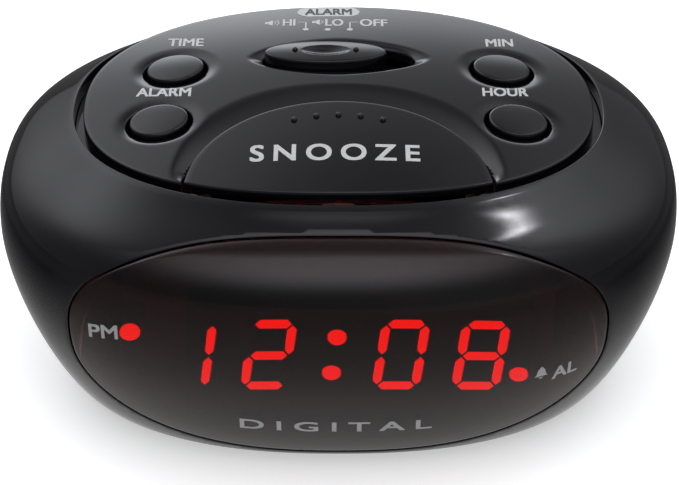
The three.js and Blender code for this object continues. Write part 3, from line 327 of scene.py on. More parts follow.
def panel_height(x, y):
    v = y - TOP_SHIFT
    return PANEL_HEIGHT + PANEL_SLOPE * v - (x * x + v * v) / (2 * PANEL_RADIUS)


def oval(x, y, half_x, half_y, power):
    return ((abs(x) / half_x) ** power + (abs(y) / half_y) ** power) ** (1 / power)


def soft_dip(inner, outer, depth, ease):
    """How deep a dish is between its hole, where inner is 1, and its outline, where outer is 1."""
    if outer >= 1:
        return 0.0
    away = max(inner - 1, 0)
    return depth * (1 - away / (away + 1 - outer)) ** ease


def panel_top(x, y):
    dip = 0.0
    for key_x, key_y in KEYS.values():
        reach = math.hypot(x - key_x, y - key_y)
        share = (reach - KEY_HOLE_RADIUS) / KEY_DISH
        if share < 1:
            dip = max(dip, KEY_DISH_DEPTH * (1 - max(share, 0)) ** 2)
    track_x = max(abs(x) - KNOB_TRAVEL / 2, 0)
    track = oval(track_x, y - KNOB_Y, KNOB_HALF_LENGTH + SLIP, KNOB_HALF_WIDTH + SLIP, 2)
    track_dish = oval(x, y - KNOB_Y, TRACK_DISH_X, TRACK_DISH_Y, TRACK_DISH_POWER)
    dip = max(dip, soft_dip(track, track_dish, TRACK_DISH_DEPTH, TRACK_EASE))
    edge = oval(x, y - TOP_SHIFT, PANEL_HALF_WIDTH, PANEL_HALF_DEPTH, BODY_POWER)
    if y > -36:
        arc = math.hypot(x, y - BAR_CENTRE_Y) / (BAR_RADIUS + BAR_GAP)
        crescent = oval(x, y - SCOOP_Y, SCOOP_HALF_X, SCOOP_HALF_Y, SCOOP_POWER)
        fade = min(max((0.99 - edge) * SCOOP_FADE, 0), 1)
        dip = max(dip, fade * soft_dip(arc, crescent, SCOOP_DEPTH, SCOOP_EASE))
    return panel_height(x, y) - dip


def panel_spot(turn, inset, share=1.0):
    x = (PANEL_HALF_WIDTH - inset) * share * rounded(math.cos(turn), BODY_POWER)
    y = (PANEL_HALF_DEPTH - inset) * share * rounded(math.sin(turn), BODY_POWER)
    return x, y + TOP_SHIFT


def panel_ring(inset, rise, share=1.0, surface=panel_top):
    def place(turn):
        x, y = panel_spot(turn, inset, share)
        return Vector((x, y, surface(x, y) + rise))

    return place


def ledge_ring(inset, rise):
    def place(turn):
        x, y = panel_spot(turn, inset)
        return Vector((x, y, SHOULDER_HEIGHT + rise + TOP_SLOPE * (y - TOP_SHIFT)))

    return place


EDGE_ROLL = ((0, -0.5), (0.03, -0.28), (0.12, -0.12), (0.28, -0.03), (0.5, 0))
panel_rings = [panel_ring(2.2, -PANEL_THICKNESS, share, panel_height) for share in (0.02, 0.5, 1)]
panel_rings += [ledge_ring(2.2, -CHANNEL_DEPTH + FIT), ledge_ring(0, -CHANNEL_DEPTH + FIT)]
panel_rings += [panel_ring(inset, rise) for inset, rise in EDGE_ROLL]
panel_rings += [panel_ring(0.5, 0, 1 - i / 84) for i in range(1, 84)]
top_panel = as_object("top_panel_dome", ring_solid(panel_rings, 360))


def hole_cutter(name, outline, depth=8.0, count=128):
    """A plug for a hole through the panel, flared at the surface so that the hole's edge is rolled."""

    def ring(grow, rise):
        def place(turn):
            x, y = outline(turn, grow)
            return Vector((x, y, panel_top(x, y) + rise))

        return place

    steps = ((0, -depth), (0, -0.42), (0.04, -0.2), (0.14, -0.06), (0.3, 0.0), (0.6, 0.12), (0.6, 4))
    return as_object(name, ring_solid([ring(*step) for step in steps], count))


def round_hole(centre_x, centre_y, radius):
    return lambda turn, grow: (
        centre_x + (radius + grow) * math.cos(turn),
        centre_y + (radius + grow) * math.sin(turn),
    )


def knob_track(turn, grow):
    x = (KNOB_HALF_LENGTH + SLIP + grow) * math.cos(turn)
    side = math.copysign(KNOB_TRAVEL / 2, x) * min(abs(math.cos(turn)) * 12, 1)
    return x + side, KNOB_Y + (KNOB_HALF_WIDTH + SLIP + grow) * math.sin(turn)


panel_cutters = [
    hole_cutter(name + "_hole_cutter", round_hole(x, y, KEY_HOLE_RADIUS))
    for name, (x, y) in KEYS.items()
]
panel_cutters.append(hole_cutter("knob_slot_cutter", knob_track, count=160))
bar_hole = round_hole(0, BAR_CENTRE_Y, BAR_RADIUS + BAR_GAP)
panel_cutters.append(hole_cutter("bar_hole_cutter", bar_hole, 2.7, 320))
carve(top_panel, panel_cutters)
fit_out(top_panel, gloss_black, "case", ["top_panel"])

# ---- Push keys ---------------------------------------------------------------------------------
# Four round caps of polished black ABS for the time, the alarm, the minutes and the hours. Each
# stands a little proud of its dish, and a flange below the panel keeps it in.
KEY_PROUD, KEY_FLANGE = 0.8, 0.9


def key_cap(name, centre_x, centre_y):
    low = panel_height(centre_x, centre_y) - PANEL_THICKNESS - 2.4

    def flat(radius, height):
        return lambda turn: Vector(
            (centre_x + radius * math.cos(turn), centre_y + radius * math.sin(turn), height)
        )

    def crown(inset, rise):
        def place(turn):
            radius = KEY_RADIUS - inset
            x, y = centre_x + radius * math.cos(turn), centre_y + radius * math.sin(turn)
            sag = 0.2 + 0.2 * (radius / KEY_RADIUS) ** 2
            return Vector((x, y, panel_height(x, y) + KEY_PROUD - sag + rise))

        return place

    rings = [flat(1.5, low + 1), flat(KEY_HOLE_RADIUS + KEY_FLANGE, low + 0.02)]
    rings += [flat(KEY_HOLE_RADIUS + KEY_FLANGE, low + 1), flat(KEY_RADIUS, low + 1)]
    rings += [crown(inset, rise) for inset, rise in EDGE_ROLL]
    rings += [crown(0.5 + (KEY_RADIUS - 0.6) * i / 12, 0) for i in range(1, 13)]
    return as_object(name + "_cap", ring_solid(rings, 128))


for name, (x, y) in KEYS.items():
    fit_out(key_cap(name, x, y), gloss_black, name + "_body", [name])

# ---- Snooze bar --------------------------------------------------------------------------------
# A broad half-moon key of the same plastic that completes the panel's front. Five raised pips
# near its rear edge let a finger find it in the dark.
BAR_PROUD, BAR_THICKNESS, BAR_MIDDLE_Y, APRON_INSET, APRON_DEPTH = 0.3, 1.8, -22.0, 5.2, 6.0
PIP_STEP, PIP_ARC, PIP_RADIUS = 4.25, 23.2, 0.65


def bar_outline(turn):
    reach, step = 0.0, 32.0
    dx, dy = math.cos(turn), math.sin(turn)
    while step > 1e-3:
        x, y = dx * (reach + step), BAR_MIDDLE_Y + dy * (reach + step)
        edge = oval(x, y - TOP_SHIFT, PANEL_HALF_WIDTH, PANEL_HALF_DEPTH, BODY_POWER)
        if edge < 1 and math.hypot(x, y - BAR_CENTRE_Y) < BAR_RADIUS:
            reach += step
        step /= 2
    return reach


def bar_ring(inset, rise, share=1.0):
    def place(turn):
        reach = (bar_outline(turn) - inset) * share
        x, y = reach * math.cos(turn), BAR_MIDDLE_Y + reach * math.sin(turn)
        return Vector((x, y, panel_height(x, y) + BAR_PROUD + rise))

    return place


# An apron below the bar, set in from its rim, hides the boards inside the case.
bar_rings = [bar_ring(APRON_INSET + 0.2, -APRON_DEPTH, share) for share in (0.03, 0.6, 1)]
bar_rings += [bar_ring(APRON_INSET, -APRON_DEPTH + 0.2), bar_ring(APRON_INSET, -BAR_THICKNESS)]
bar_rings += [bar_ring(0.4, -BAR_THICKNESS), bar_ring(0, -BAR_THICKNESS + 0.3)]
bar_rings += [bar_ring(inset, rise) for inset, rise in EDGE_ROLL]
bar_rings += [bar_ring(0.5, 0, 1 - i / 30) for i in range(1, 30)]
bar_mesh = ring_solid(bar_rings, 480)


def raise_pip(bm, x, y, height, radius):
    made = bmesh.ops.create_uvsphere(bm, u_segments=24, v_segments=12, radius=radius)
    bmesh.ops.translate(bm, vec=(x, y, height), verts=made["verts"])


for step in range(-2, 3):
    pip_x = step * PIP_STEP
    pip_y = BAR_CENTRE_Y + math.sqrt(PIP_ARC**2 - pip_x**2)
    raise_pip(bar_mesh, pip_x, pip_y, panel_height(pip_x, pip_y) + BAR_PROUD, PIP_RADIUS)
snooze_bar = as_object("snooze_bar_key", bar_mesh)
fit_out(snooze_bar, gloss_black, "snooze_body", ["snooze_bar"])

# ---- Alarm switch knob -------------------------------------------------------------------------
# An oval slider of polished black ABS with a shallow thumb hollow and two pips. It slides along
# its slot from loud to soft to off, and a flange under the panel hides the slot.
KNOB_REST, KNOB_PROUD, KNOB_SAG, HOLLOW_RADIUS, HOLLOW_DEPTH = -2.6, 1.1, 0.35, 16.0, 0.75


def knob_ring(grow, height, power=2.0, longer=0.0, share=1.0):
    def place(turn):
        half_x = (KNOB_HALF_LENGTH + grow + longer) * share
        half_y = (KNOB_HALF_WIDTH + grow) * share
        x, y = half_x * rounded(math.cos(turn), power), half_y * rounded(math.sin(turn), power)
        top = knob_crown + height - KNOB_SAG * oval(x, y, KNOB_HALF_LENGTH, KNOB_HALF_WIDTH, 2) ** 2
        bowl = math.sqrt(max(HOLLOW_RADIUS**2 - x * x - 4 * y * y, 0))
        hollow = knob_crown + HOLLOW_RADIUS - HOLLOW_DEPTH - bowl
        return Vector((KNOB_REST + x, KNOB_Y + y, min(top, hollow) if height > -1 else top))

    return place


knob_crown = panel_height(0, KNOB_Y) + KNOB_PROUD + KNOB_SAG
knob_low = -PANEL_THICKNESS - 2.6 - KNOB_PROUD
knob_rings = [knob_ring(-3, knob_low), knob_ring(1.6, knob_low, 3, KNOB_TRAVEL / 2)]
knob_rings += [knob_ring(1.6, knob_low + 1, 3, KNOB_TRAVEL / 2), knob_ring(0, knob_low + 1)]
knob_rings += [knob_ring(-inset, rise) for inset, rise in EDGE_ROLL]
knob_rings += [knob_ring(-0.5, 0, share=1 - i / 24) for i in range(1, 24)]
knob_mesh = ring_solid(knob_rings, 160)
for side in (-1, 1):
    raise_pip(knob_mesh, KNOB_REST + side * 6.1, KNOB_Y, knob_crown - 0.1, 0.6)
alarm_switch = as_object("alarm_switch_oval", knob_mesh)
fit_out(alarm_switch, gloss_black, "alarm_switch", ["alarm_switch_knob"])

# ---- Display -----------------------------------------------------------------------------------
# A four-figure LED module: a black block with a window for each bar, red epoxy in the windows, and
# the bars of 12:08, the colon and the alarm lamp lit. A single lamp beside it marks the afternoon.
DISPLAY_FACE, DISPLAY_Z = -38.22, 21.0
DIGIT_HEIGHT, DIGIT_WIDTH, DIGIT_SLANT, BAR_WIDTH = 14.7, 9.2, 0.144, 1.8
DIGIT_CENTRES = (-28.1, -13.1, 11.8, 26.8)
LIT_BARS = ("bc", "abged", "abcdef", "abcdefg")
FITTED_BARS = ("bc", "abcdefg", "abcdefg", "abcdefg")
LIGHT_SHRINK, LIGHT_DEPTH, WINDOW_SHRINK, WINDOW_DEPTH, WINDOW_GAP = 0.14, 5.8, -0.05, 5.0, 0.2
COLON_X, COLON_RISE, COLON_RADIUS = -0.8, 3.7, 1.75
ALARM_DOT_X, ALARM_DOT_DROP, ALARM_DOT_RADIUS, EPOXY_BACK = 33.9, 3.9, 1.7, 2.6


def lit_epoxy(name, colour, strength):
    material = bpy.data.materials.new(name)
    material.use_nodes = True
    nodes, links = material.node_tree.nodes, material.node_tree.links
    shader = nodes["Principled BSDF"]
    shader.inputs["Base Color"].default_value = (*colour, 1)
    shader.inputs["Emission Color"].default_value = (*colour, 1)
    shader.inputs["Emission Strength"].default_value = strength
    links.new(noise_map(nodes, links, 900, 2, 0.3, 0.45), shader.inputs["Roughness"])
    return material


def bar_ends(letter):
    w, h = (DIGIT_WIDTH - BAR_WIDTH) / 2, (DIGIT_HEIGHT - BAR_WIDTH) / 2
    return {
        "a": (-w, h, w, h),
        "b": (w, 0, w, h),
        "c": (w, -h, w, 0),
        "d": (-w, -h, w, -h),
        "e": (-w, -h, -w, 0),
        "f": (-w, 0, -w, h),
        "g": (-w, 0, w, 0),
    }[letter]


def add_light_bar(bm, letter, centre_x, shrink, depth):
    """One six-sided bar, drawn flat, then drawn out backwards from the module's face."""
    x0, z0, x1, z1 = bar_ends(letter)
    along = Vector((x1 - x0, z1 - z0)).normalized()
    across = Vector((-along.y, along.x))
    half, end = BAR_WIDTH / 2 - shrink, 0.233 + shrink * 0.7
    length = (Vector((x1, z1)) - Vector((x0, z0))).length
    corners = []
    for reach, side in (
        (end, 0), (end + half, -1), (length - end - half, -1),
        (length - end, 0), (length - end - half, 1), (end + half, 1),
    ):
        spot = Vector((x0, z0)) + along * reach + across * half * side
        x = centre_x + spot.x + spot.y * DIGIT_SLANT
        corners.append(bm.verts.new((x, DISPLAY_FACE, DISPLAY_Z + spot.y)))
    draw_back(bm, bm.faces.new(corners), depth)


def add_light_dot(bm, x, z, radius, depth):
    turned = Matrix.Translation((x, DISPLAY_FACE, z)) @ Matrix.Rotation(math.pi / 2, 4, "X")
    made = bmesh.ops.create_circle(bm, cap_ends=True, radius=radius, segments=48, matrix=turned)
    bmesh.ops.scale(bm, vec=(1, 1, 0.86), space=Matrix.Translation((0, 0, -z)), verts=made["verts"])
    draw_back(bm, made["verts"][0].link_faces[0], depth)


def draw_back(bm, face, depth):
    grown = bmesh.ops.extrude_face_region(bm, geom=[face], use_keep_orig=True)["geom"]
    moved = [g for g in grown if isinstance(g, bmesh.types.BMVert)]
    bmesh.ops.translate(bm, vec=(0, depth, 0), verts=moved)


def rolled_box(bm, low, high, roll, segments):
    """A box between two corners given in metres, drawn in millimetres with its edges rolled."""
    place = Matrix.Translation((low + high) / 2 / MM) @ Matrix.Diagonal((*((high - low) / MM), 1))
    made = bmesh.ops.create_cube(bm, size=1, matrix=place)
    edges = list({edge for vert in made["verts"] for edge in vert.link_edges})
    bmesh.ops.bevel(
        bm, geom=edges, offset=roll, segments=segments, profile=0.5, affect="EDGES", material=-1
    )


def turned(points, centre, axis, steps):
    """A solid turned about an axis from the points of its half section."""
    bm = bmesh.new()
    chain = [bm.verts.new(point) for point in points]
    edges = [bm.edges.new(pair) for pair in zip(chain, chain[1:])]
    bmesh.ops.spin(
        bm, geom=chain + edges, cent=centre, axis=axis, angle=math.tau, steps=steps, use_merge=True
    )
    bmesh.ops.remove_doubles(bm, verts=bm.verts, dist=1e-4)
    bmesh.ops.recalc_face_normals(bm, faces=bm.faces)
    return bm


lit, unlit, windows = bmesh.new(), bmesh.new(), bmesh.new()
for centre, on, fitted in zip(DIGIT_CENTRES, LIT_BARS, FITTED_BARS):
    for letter in fitted:
        add_light_bar(lit if letter in on else unlit, letter, centre, LIGHT_SHRINK, LIGHT_DEPTH)
        add_light_bar(windows, letter, centre, WINDOW_SHRINK, WINDOW_DEPTH)
light_dots = [
    (COLON_X + rise * DIGIT_SLANT, DISPLAY_Z + rise, COLON_RADIUS)
    for rise in (-COLON_RISE, COLON_RISE)
]
light_dots.append((ALARM_DOT_X, DISPLAY_Z - ALARM_DOT_DROP, ALARM_DOT_RADIUS))
for dot_x, dot_z, dot_radius in light_dots:
    add_light_dot(lit, dot_x, dot_z, dot_radius, LIGHT_DEPTH)
    add_light_dot(windows, dot_x, dot_z, dot_radius + WINDOW_GAP, WINDOW_DEPTH)
bmesh.ops.translate(windows, vec=(0, -1, 0), verts=windows.verts)
slab_low, slab_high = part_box("led_epoxy")
slab_low = Vector((slab_low.x, slab_high.y - EPOXY_BACK * MM, slab_low.z))
rolled_box(unlit, slab_low, slab_high, 0.3, 2)
for bars in (lit, unlit):
    bmesh.ops.recalc_face_normals(bars, faces=bars.faces)
glowing_red = lit_epoxy("glowing_red_epoxy", (1.0, 0.008, 0.002), 9.0)
idle_red = moulded(
    "idle_red_epoxy", (0.05, 0.004, 0.004), (0.07, 0.006, 0.005), (0.3, 0.45), 900, (0.05, 1e-5)
)
fit_out(as_object("lit_bars", lit), glowing_red, "case")
fit_out(as_object("epoxy_fill", unlit), idle_red, "case", ["led_epoxy"])

module_low, module_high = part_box("led_housing")
module = bmesh.new()
rolled_box(module, module_low, module_high, 0.4, 3)
bmesh.ops.recalc_face_normals(windows, faces=windows.faces)
led_module = as_object("led_module", module)
carve(led_module, [as_object("led_windows", windows)])
module_black = moulded(
    "module_black", (0.006, 0.006, 0.007), (0.01, 0.01, 0.011), (0.45, 0.6), 1500, (0.1, 1e-5)
)
fit_out(led_module, module_black, "case", ["led_housing"])

# The afternoon lamp: a flat-faced lamp whose face is lit, in a dark sleeve on its own stand-off.
LAMP_X, LAMP_Z, LAMP_RADIUS = -38.9, 26.2, 1.9
lamp_face = bmesh.new()
add_light_dot(lamp_face, LAMP_X, LAMP_Z, LAMP_RADIUS, 0.4)
bmesh.ops.recalc_face_normals(lamp_face, faces=lamp_face.faces)
fit_out(as_object("afternoon_light", lamp_face), glowing_red, "case")
SLEEVE = ((0.0, 0.45), (1.8, 0.45), (1.95, 0.6), (1.95, 5.9), (2.35, 6.0), (2.35, 7.1), (0.0, 7.1))
sleeve_points = [(LAMP_X + radius, DISPLAY_FACE + depth, LAMP_Z) for radius, depth in SLEEVE]
lamp = turned(sleeve_points, (LAMP_X, 0, LAMP_Z), (0, 1, 0), 48)
fit_out(as_object("afternoon_lamp", lamp), module_black, "case", ["pm_led"], 40)

# ---- Printed legends ---------------------------------------------------------------------------
# Pad-printed legends in light grey ink on the key panel and the snooze bar, and in a darker grey
# on the lens. Each is an open film of ink that lies three hundredths above its surface.
def ink(name, tone):
    return moulded(name, [tone * 0.93] * 3, [tone * 1.03] * 3, (0.42, 0.55), 2500, (0.06, 1e-5))


light_ink, dark_ink = ink("light_grey_ink", 0.5), ink("black_ink", 0.045)
lens_ink = ink("grey_ink", 0.27)
FILM, PRINT_STEP = 0.03, 0.005


def lettering(words, spacing=1.0):
    """A word as a flat mesh, with its left foot at the origin and a cap height of 1."""
    curve = bpy.data.curves.new("legend", "FONT")
    curve.body, curve.space_character = words, spacing
    curve.resolution_u = 6
    draft = bpy.data.objects.new("legend", curve)
    bpy.context.scene.collection.objects.link(draft)
    seen = draft.evaluated_get(bpy.context.evaluated_depsgraph_get())
    mesh = bpy.data.meshes.new_from_object(seen)
    bm = bmesh.new()
    bm.from_mesh(mesh)
    bpy.data.objects.remove(draft)
    bpy.data.meshes.remove(mesh)
    return bm


def stretch_to(bm, left, right, low, high):
    xs, ys = [v.co.x for v in bm.verts], [v.co.y for v in bm.verts]
    for vert in bm.verts:
        vert.co.x = left + (vert.co.x - min(xs)) / (max(xs) - min(xs)) * (right - left)
        vert.co.y = low + (vert.co.y - min(ys)) / (max(ys) - min(ys)) * (high - low)


def add_flat(bm, corners):
    bm.faces.new([bm.verts.new((x, y, 0)) for x, y in corners])


def add_disc(bm, x, y, radius, segments=32):
    place = Matrix.Translation((x, y, 0))
    bmesh.ops.create_circle(bm, cap_ends=True, radius=radius, segments=segments, matrix=place)


def add_line(bm, x0, y0, x1, y1, width):
    along = Vector((x1 - x0, y1 - y0)).normalized() * width / 2
    across = Vector((-along.y, along.x))
    a, b = Vector((x0, y0)) - along, Vector((x1, y1)) + along
    add_flat(bm, [a - across, b - across, b + across, a + across])


def lay_on(name, sheets, piece, from_front, lift, material, body):
    """Joins flat sheets of ink, cuts them finely and lays them on a piece from above or in front."""
    whole = bmesh.new()
    for sheet in sheets:
        draft = bpy.data.meshes.new("sheet")
        sheet.to_mesh(draft)
        sheet.free()
        whole.from_mesh(draft)
        bpy.data.meshes.remove(draft)
    for axis in (0, 1):
        spots = [vert.co[axis] for vert in whole.verts]
        cut_at = math.floor(min(spots)) + 0.5
        while cut_at < max(spots):
            point, normal = Vector((0, 0, 0)), Vector((0, 0, 0))
            point[axis], normal[axis] = cut_at, 1
            bmesh.ops.bisect_plane(
                whole, geom=whole.verts[:] + whole.edges[:] + whole.faces[:], plane_co=point, plane_no=normal
            )
            cut_at += 0.7
    under = bmesh.new()
    under.from_mesh(piece.data)
    skin = BVHTree.FromBMesh(under)
    under.free()
    for vert in whole.verts:
        x, y = vert.co.x * MM, vert.co.y * MM
        if from_front:
            start, way = Vector((x, -0.1, y)), Vector((0, 1, 0))
        else:
            start, way = Vector((x, y, 0.1)), Vector((0, 0, -1))
        landed = skin.ray_cast(start, way)[0]
        vert.co = (landed - way * (lift + vert.co.z) * MM) / MM
    return fit_out(as_object(name, whole), material, body)


def word_at(words, left, right, low, cap, slant=0.0, spacing=1.0, weight=0.09):
    """A legend between two ends, with its foot rising or falling by slant from left to right.

    Four prints of the word, set apart by weight and a hair above each other, make bold strokes."""
    bm = lettering(words, spacing)
    stretch_to(bm, left + weight, right - weight, low + weight, low + cap - weight)
    first_print = bm.verts[:] + bm.edges[:] + bm.faces[:]
    for number, (x, y) in enumerate(((-1, -1), (1, -1), (1, 1)), start=1):
        copied = bmesh.ops.duplicate(bm, geom=first_print)["geom"]
        moved = [item for item in copied if isinstance(item, bmesh.types.BMVert)]
        bmesh.ops.translate(bm, vec=(x * weight, y * weight, number * PRINT_STEP), verts=moved)
    moved = [item for item in first_print if isinstance(item, bmesh.types.BMVert)]
    bmesh.ops.translate(bm, vec=(-weight, weight, 0), verts=moved)
    for vert in bm.verts:
        vert.co.y += slant * (vert.co.x - left) / (right - left)
    return bm


def speaker_icon(left, middle, waves):
    """A small loudspeaker: its driver, its horn and one or more curved waves."""

    def wave_point(radius, turn):
        return left + 1.45 + radius * math.cos(turn), middle + radius * 1.35 * math.sin(turn)

    bm = bmesh.new()
    for near, near_half, far, far_half in ((0, 0.55, 0.55, 0.55), (0.65, 0.6, 1.6, 1.4)):
        add_flat(bm, [
            (left + near, middle - near_half), (left + far, middle - far_half),
            (left + far, middle + far_half), (left + near, middle + near_half),
        ])
    for k in range(waves):
        radius = 0.75 + 0.62 * k
        for i in range(-4, 4):
            add_line(bm, *wave_point(radius, i * 0.2), *wave_point(radius, (i + 1) * 0.2), 0.26)
    return bm


switch_marks = bmesh.new()
for points in (
    ((-8.2, 30.45), (-6.75, 30.45), (-6.75, 26.9)),
    ((3.9, 30.35), (2.35, 30.35), (2.35, 26.7)),
):
    for (x0, y0), (x1, y1) in zip(points, points[1:]):
        add_line(switch_marks, x0, y0, x1, y1, 0.28)
for x, y in ((-6.73, 26.7), (-2.23, 26.55), (2.32, 26.55)):
    add_disc(switch_marks, x, y, 0.62)
lay_on(
    "panel_legends",
    [
        word_at("TIME", -34.9, -27.5, 22.0, 3.7, -1.4),
        word_at("ALARM", -39.8, -28.9, 0.9, 3.4, -1.75),
        word_at("MIN", 30.0, 35.7, 20.8, 3.7, 1.2),
        word_at("HOUR", 28.2, 37.3, -0.95, 3.4, 1.45),
        word_at("HI", -11.55, -8.9, 28.7, 3.5),
        word_at("LO", -2.75, 1.0, 28.3, 3.6),
        word_at("OFF", 4.4, 10.1, 28.3, 3.7),
        speaker_icon(-15.2, 30.5, 2),
        speaker_icon(-5.45, 30.4, 1),
        switch_marks,
    ],
    top_panel, False, FILM, light_ink, "case",
)
CAPSULE_X, CAPSULE_Y, CAPSULE_RADIUS, CAPSULE_HALF = -2.1, 35.97, 2.57, 3.9
capsule = bmesh.new()
bmesh.ops.create_circle(capsule, cap_ends=True, radius=1, segments=64)
for vert in capsule.verts:
    turn = math.atan2(vert.co.y, vert.co.x)
    side = math.copysign(CAPSULE_HALF, vert.co.x)
    vert.co.x = CAPSULE_X + CAPSULE_RADIUS * math.cos(turn) + side
    vert.co.y = CAPSULE_Y + CAPSULE_RADIUS * math.sin(turn)
lay_on("alarm_capsule", [capsule], top_panel, False, FILM, light_ink, "case")
capsule_word = word_at("ALARM", -7.0, 2.8, 34.3, 3.3)
lay_on("alarm_capsule_word", [capsule_word], top_panel, False, FILM + 0.04, dark_ink, "case")
snooze_word = word_at("SNOOZE", -16.6, 15.3, -25.9, 5.4, spacing=1.45, weight=0.13)
lay_on("snooze_legend", [snooze_word], snooze_bar, False, FILM, light_ink, "snooze_body")
bell = bmesh.new()
add_flat(bell, [
    (36.5, 20.9), (39.1, 20.9), (38.7, 21.4), (38.5, 22.6),
    (38.1, 23.1), (37.5, 23.1), (37.1, 22.6), (36.9, 21.4),
])
add_disc(bell, 37.8, 23.15, 0.3)
add_flat(bell, [(37.3, 20.6), (38.3, 20.6), (38.0, 20.2), (37.6, 20.2)])
lay_on(
    "lens_legends",
    [
        word_at("PM", -46.4, -40.6, 27.8, 3.3, 1.9),
        bell,
        word_at("AL", 40.0, 44.9, 18.9, 3.4, 0.25),
        word_at("DIGITAL", -18.5, 17.5, 10.6, 3.0, spacing=1.5),
    ],
    front_lens, True, FILM, lens_ink, "case",
)

# ---- Base, battery cover and feet --------------------------------------------------------------
# A textured black ABS floor with the battery bay and its hinged cover, four soft rubber feet
# pressed into recesses, and the cord's rubber bushing at the back.
satin_black = moulded(
    "textured_black_abs", (0.012, 0.012, 0.013), (0.02, 0.02, 0.022), (0.38, 0.55), 2200, (0.35, 6e-5)
)
soft_rubber = moulded(
    "black_rubber", (0.014, 0.014, 0.014), (0.024, 0.023, 0.022), (0.7, 0.9), 1500, (0.4, 8e-5)
)


def finish_node(names, material):
    for name in names:
        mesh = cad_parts[name].data
        mesh.materials.clear()
        mesh.materials.append(material)


switches = [key.replace("_key", "") + "_tact_" for key in KEYS] + ["snooze_tact_"]
finish_node(["base_plate", "battery_cover", "buzzer_housing", "battery_contact_plate"], satin_black)
finish_node(["slide_switch_lever", "clock_chip", "smoothing_capacitor"], satin_black)
finish_node([switch + "plunger" for switch in switches], satin_black)
finish_node(["cord_bushing"], soft_rubber)
for number in range(1, 5):
    low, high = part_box(f"foot_{number}")
    centre = (low + high) / 2 / MM
    radius, top = (high.x - low.x) / 2 / MM, high.z / MM
    edge = [
        (0.0, 0.25), (radius - 1.6, 0.25), (radius - 1.1, 0.0), (radius - 0.35, 0.0),
        (radius, 0.35), (radius, top), (0.0, top),
    ]
    edge_points = [(centre.x + reach, centre.y, height) for reach, height in edge]
    foot = turned(edge_points, (centre.x, centre.y, 0), (0, 0, 1), 64)
    fit_out(as_object(f"foot_pad_{number}", foot), soft_rubber, "case", [f"foot_{number}"])

# ---- Electronics -------------------------------------------------------------------------------
# Paper-phenolic boards, plated switches and screws, the mains transformer with its varnished
# winding, the buzzer and the flat cable, all behind the shell.
phenolic = moulded("phenolic_board", (0.3, 0.17, 0.06), (0.46, 0.29, 0.12), (0.45, 0.6), 1200, (0.2, 4e-5))
plated = moulded("zinc_plate", (0.5, 0.51, 0.54), (0.62, 0.63, 0.65), (0.22, 0.4), 2600, (0.15, 2e-5), 1.0)
lamination = moulded(
    "varnished_laminations", (0.16, 0.16, 0.17), (0.26, 0.26, 0.27), (0.35, 0.6), 1800, (0.4, 8e-5), 1.0
)
winding = moulded(
    "varnished_winding", (0.45, 0.17, 0.06), (0.66, 0.33, 0.13), (0.25, 0.45), 1600, (0.5, 1e-4), 1.0
)
vinyl = moulded("grey_vinyl", (0.24, 0.24, 0.25), (0.34, 0.34, 0.35), (0.5, 0.65), 900, (0.2, 4e-5))
finish_node(["key_board", "display_board"], phenolic)
finish_node([switch + "switch" for switch in switches] + ["slide_switch_body"], plated)
finish_node([f"board_screw_{n}" for n in range(1, 5)] + [f"case_screw_{n}" for n in range(1, 5)], plated)
finish_node(["transformer_core"], lamination)
finish_node(["transformer_coil", "buzzer_disc"], winding)
finish_node(["ribbon_cable"], vinyl)

# ---- Floor, lights and camera ------------------------------------------------------------------
# A plain white table under large soft lights, and a long lens looking down at the front.
floor_mesh = bmesh.new()
bmesh.ops.create_grid(floor_mesh, x_segments=1, y_segments=1, size=4000)
floor = as_object("floor", floor_mesh)
paper = bpy.data.materials.new("white_paper")
paper.use_nodes = True
paper_shader = paper.node_tree.nodes["Principled BSDF"]
paper_shader.inputs["Base Color"].default_value = (0.86, 0.86, 0.86, 1)
paper_shader.inputs["Roughness"].default_value = 0.9
paper_shader.inputs["Specular IOR Level"].default_value = 0.0
paper_shader.inputs["Emission Color"].default_value = (1, 1, 1, 1)
paper_shader.inputs["Emission Strength"].default_value = 0.5
floor.data.materials.append(paper)

# The studio is a dim dome with soft glows in it, most of them at the back and sides, and one dim
# patch. A narrow bright lamp stands at the right, and a soft box overhead reaches only forward.
world = bpy.data.worlds.new("studio")
world.use_nodes = True
dome, dome_links = world.node_tree.nodes, world.node_tree.links
bpy.context.scene.world = world


def dome_math(kind, a, b=None):
    node = dome.new("ShaderNodeMath")
    node.operation = kind
    for socket, value in zip(node.inputs, (a, b)):
        if isinstance(value, (int, float)):
            socket.default_value = value
        elif value is not None:
            dome_links.new(value, socket)
    return node.outputs[0]


outward = dome.new("ShaderNodeTexCoord").outputs["Generated"]


def facing(axis):
    """How far a direction on the dome points along an axis, from -1 to 1."""
    node = dome.new("ShaderNodeVectorMath")
    node.operation = "DOT_PRODUCT"
    node.inputs[1].default_value = axis
    dome_links.new(outward, node.inputs[0])
    return node.outputs["Value"]


def bearing(turn, rise):
    turn, rise = math.radians(turn), math.radians(rise)
    return Vector((math.sin(turn) * math.cos(rise), math.cos(turn) * math.cos(rise), math.sin(rise)))


def glow(turn, rise, brightness, tightness):
    """A soft round glow at a compass turn from the back, clockwise, and a rise above the floor."""
    share = dome_math("MULTIPLY", dome_math("SUBTRACT", facing(bearing(turn, rise)), 1), tightness)
    return dome_math("MULTIPLY", dome_math("EXPONENT", share), brightness)


def cut_off(towards, low, high):
    """Falls smoothly from 1 to 0 as the direction's share along an axis goes from high to low."""
    ramp = dome.new("ShaderNodeMapRange")
    ramp.interpolation_type = "SMOOTHSTEP"
    ramp.inputs["From Min"].default_value, ramp.inputs["From Max"].default_value = low, high
    dome_links.new(facing(towards), ramp.inputs["Value"])
    return ramp.outputs["Result"]


